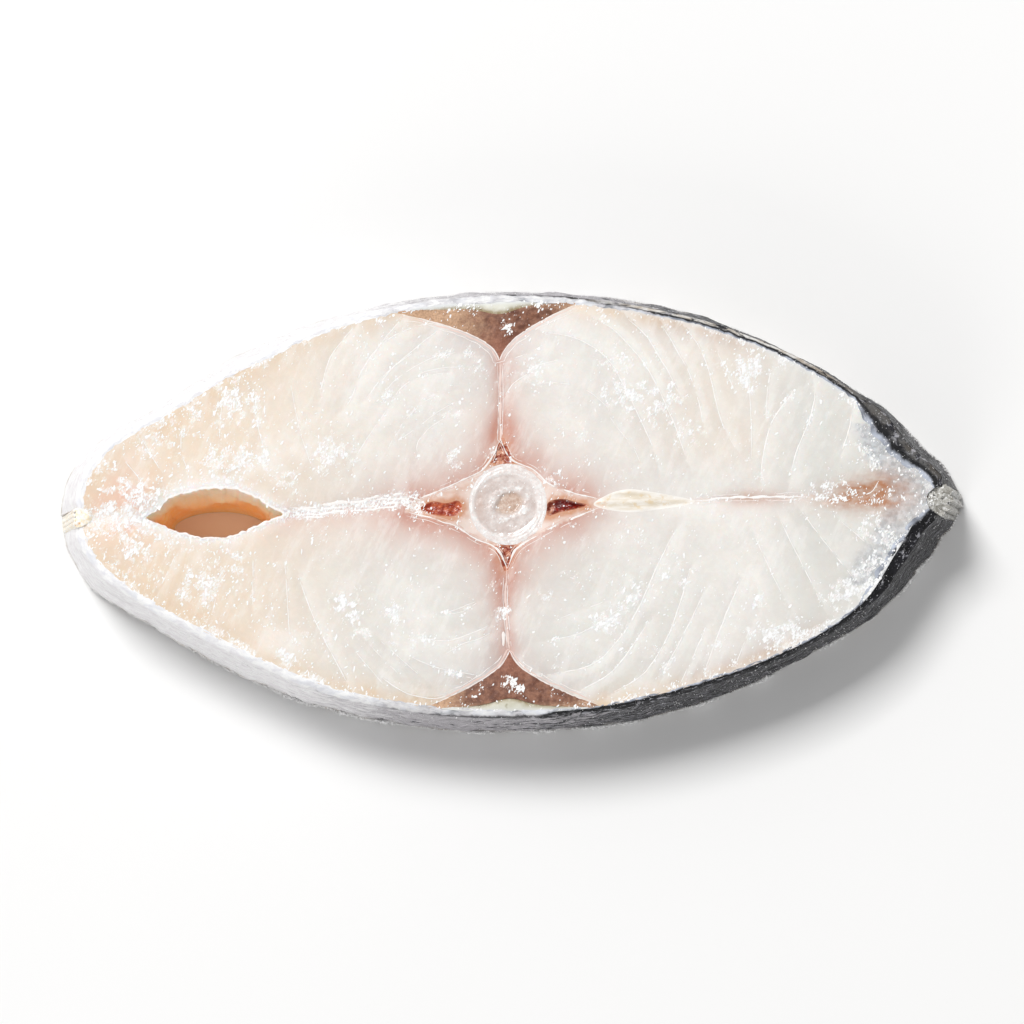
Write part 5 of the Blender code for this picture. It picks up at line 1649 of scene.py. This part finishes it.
def ice_look():
    look = Look("ice_crumbs", 0.3, specular=0.5)
    look.glow(0.5, 0.8, (1.0, 1.0, 1.0))
    cloud = look.noise(1.5, 2.0)
    return look.finish(look.mix(cloud, (232, 231, 231), (252, 252, 252)))


# Ends of the skin, grown a little into the flesh so that no gap shows round them
PLUG_GROWTH = 0.32


def plug_loops(side, span, depth, proud, swell):
    """Outlines of such a knob at the upper and at the lower cut."""
    first = nearest(EDGE, span[0])
    last = first + (nearest(EDGE, span[1]) - first) % len(EDGE)
    stations = np.linspace(first + 0.5, last - 0.5, 30).tolist()
    inner = bay(edge_point(stations[0]), edge_point(stations[-1]), depth)
    inner = [edge_point(stations[-1])] + inner[::-1] + [edge_point(stations[0])]
    rim, foot = list(inner), list(inner)
    for k, at in enumerate(stations):
        (u, v), normal = edge_point(at), edge_normal(at)
        lump = swell * math.sin(2.9 * k) * 0.4 + swell * math.sin(0.8 * k + 1.0)
        for outline, table in ((rim, SKIN_RIM), (foot, foot_table(side))):
            away = knots_at(table, u) + proud + lump
            outline.append((u + normal[0] * away, v + normal[1] * away))
    return offset(rim, PLUG_GROWTH), offset(foot, PLUG_GROWTH)


def make_plug(node, look, side, span, depth, top, proud, swell):
    """The knob at one end of the skin, with an uneven top and wall."""
    rim, foot = plug_loops(side, span, depth, proud, swell)
    middle = np.array(rim).mean(axis=0)
    widest = max(math.dist(p, middle) for p in rim)

    def height(u, v):
        dome = 0.35 * (np.hypot(u - middle[0], v - middle[1]) / widest) ** 2
        return top - dome + 0.3 * noise(u, v, 1.0, 85, 3)

    def fold(at, share):
        out = at - middle
        lump = 0.12 * noise(at[:, 0], at[:, 1] + share * 20, 1.3, 86, 3)
        return middle + out * (1 + lump[:, None])

    def base(u, _):
        return 0.3 + 0 * u

    points, faces = slab([rim], height, base, PLUG_STEP, PLUG_BASE_STEP, [foot], [PLUG_ROWS], fold)
    return piece(node + "_dressed", place(*points[:, :3].T), faces, look, (node,))


def belly_fat_look():
    look = Look("belly_fat", 0.4, specular=0.3)
    lump = look.noise(0.9, 4.0, 0.65)
    colour = look.between(lump, 0.35, 0.6, (250, 232, 196), (254, 250, 240))
    colour = look.between(look.noise(0.8, 2.0), 0.6, 0.7, colour, (236, 184, 128))
    colour = look.between(look.noise(0.5, 2.0, 0.7), 0.5, 0.6, colour, FROST_WHITE)
    return look.finish(colour, None, look.bump(lump, 0.2, 0.6))


def fin_look():
    look = Look("fin_base", 0.35, coat=0.1)
    look.glow(0.2, 0.4, (1.0, 0.95, 0.9))
    lump = look.noise(1.3, 4.0, 0.65)
    colour = look.between(lump, 0.35, 0.62, (136, 133, 125), (190, 188, 182))
    vein = look.ramp(look.noise(1.1, 4.0, 0.65, None, 1.5), 0.56, 0.62)
    colour = look.mix(vein, colour, (44, 44, 48))
    colour = look.between(look.noise(0.5, 2.0, 0.7), 0.56, 0.62, colour, (226, 226, 224))
    return look.finish(colour, None, look.bump(lump, 0.3, 0.8))


# Floor, light and camera
def make_floor():
    half, z, rows = 2.2, -0.05 * MM, 9
    mesh = bpy.data.meshes.new("floor")
    steps = np.linspace(-half, half, rows)
    points = [(x, y, z) for y in steps for x in steps]
    faces = [
        (r * rows + c, r * rows + c + 1, (r + 1) * rows + c + 1, (r + 1) * rows + c)
        for r in range(rows - 1) for c in range(rows - 1)
    ]
    mesh.from_pydata(points, [], faces)
    floor = bpy.data.objects.new("floor", mesh)
    bpy.context.scene.collection.objects.link(floor)
    look = Look("floor", 0.9, specular=0.1)
    cloud = look.noise(60.0, 1.0)
    look.finish(look.mix(cloud, (0.88, 0.88, 0.88, 1.0), (0.89, 0.89, 0.89, 1.0)))
    mesh.materials.append(look.material)


def make_lamp(name, at, size, power, colour):
    lamp = bpy.data.lights.new(name, "AREA")
    lamp.shape = "RECTANGLE"
    lamp.size, lamp.size_y = size, size
    lamp.energy = power
    lamp.color = colour
    lamp_object = bpy.data.objects.new(name, lamp)
    lamp_object.location = at
    lamp_object.rotation_euler = (-lamp_object.location).to_track_quat("-Z", "Y").to_euler()
    bpy.context.scene.collection.objects.link(lamp_object)


def make_light():
    world = bpy.data.worlds.new("studio")
    world.use_nodes = True
    sky = world.node_tree.nodes["Background"]
    sky.inputs["Color"].default_value = (1.0, 1.0, 1.0, 1.0)
    sky.inputs["Strength"].default_value = SKY
    bpy.context.scene.world = world
    make_lamp(*KEY_LAMP)
    make_lamp(*FILL_LAMP)


def make_camera():
    lens = bpy.data.cameras.new("camera")
    lens.lens = LENS
    lens.sensor_width = 36.0
    lens.clip_start, lens.clip_end = 0.05, 10.0
    camera = bpy.data.objects.new("camera", lens)
    aim = Vector(ORIGIN.tolist()) + Vector((AIM[0], AIM[1], THICKNESS)) * MM
    forward = Vector((0.0, math.cos(ELEVATION), -math.sin(ELEVATION)))
    camera.location = aim - forward * DISTANCE
    camera.rotation_euler = (math.pi / 2 - ELEVATION, 0.0, 0.0)
    bpy.context.scene.collection.objects.link(camera)
    bpy.context.scene.camera = camera
    settings = bpy.context.scene.view_settings
    settings.view_transform = "Standard"
    settings.look = "None"


def main():
    make_camera()
    make_light()
    make_floor()
    make_flesh()
    make_membranes()
    make_backbone()
    blood = blood_look()
    make_blood("haemal_blood", smooth(HAEMAL_POCKET, OUTLINE_STEP, True)[::-1], 0.0, 0.0, 0.35, blood)
    make_blood("neural_blood", smooth(NEURAL_POCKET, OUTLINE_STEP, True)[::-1], 1.0, 0.0, 0.8, blood)
    make_blood("side_blood_upper", side_blood_loop(1), 0.0, 0.75, 0.3, blood)
    make_blood("side_blood_lower", side_blood_loop(-1), 0.0, 0.55, 0.35, blood)
    dark = dark_look()
    make_dark_muscle("dark_muscle_upper", DARK_UPPER, dark)
    make_dark_muscle("dark_muscle_lower", DARK_LOWER, dark)
    fat = fat_look()
    make_fat("subskin_fat_upper", DARK_UPPER, fat)
    make_fat("subskin_fat_lower", DARK_LOWER, fat)
    make_spine()
    make_skin(
        "skin_lower_dressed", "skin_lower_flank", -1, BELLY_SPAN[1], FIN_SPAN[0],
        NIGHT_LOWER, skin_look("skin_lower"),
    )
    make_skin(
        "skin_upper_dressed", "skin_upper_flank", 1, FIN_SPAN[1], BELLY_SPAN[0],
        NIGHT_UPPER, skin_look("skin_upper"),
    )
    make_plug("belly_fat", belly_fat_look(), -1, BELLY_SPAN, BELLY_DEPTH, 19.65, -0.3, 0.15)
    make_plug("fin_base", fin_look(), 1, FIN_SPAN, FIN_DEPTH, 19.4, -0.5, 0.4)
    make_frost("frost_upper_cut", 120000, 5, True, 19500)
    make_frost("frost_lower_cut", 30000, 6, False, 6000)
    make_crumbs()


main()
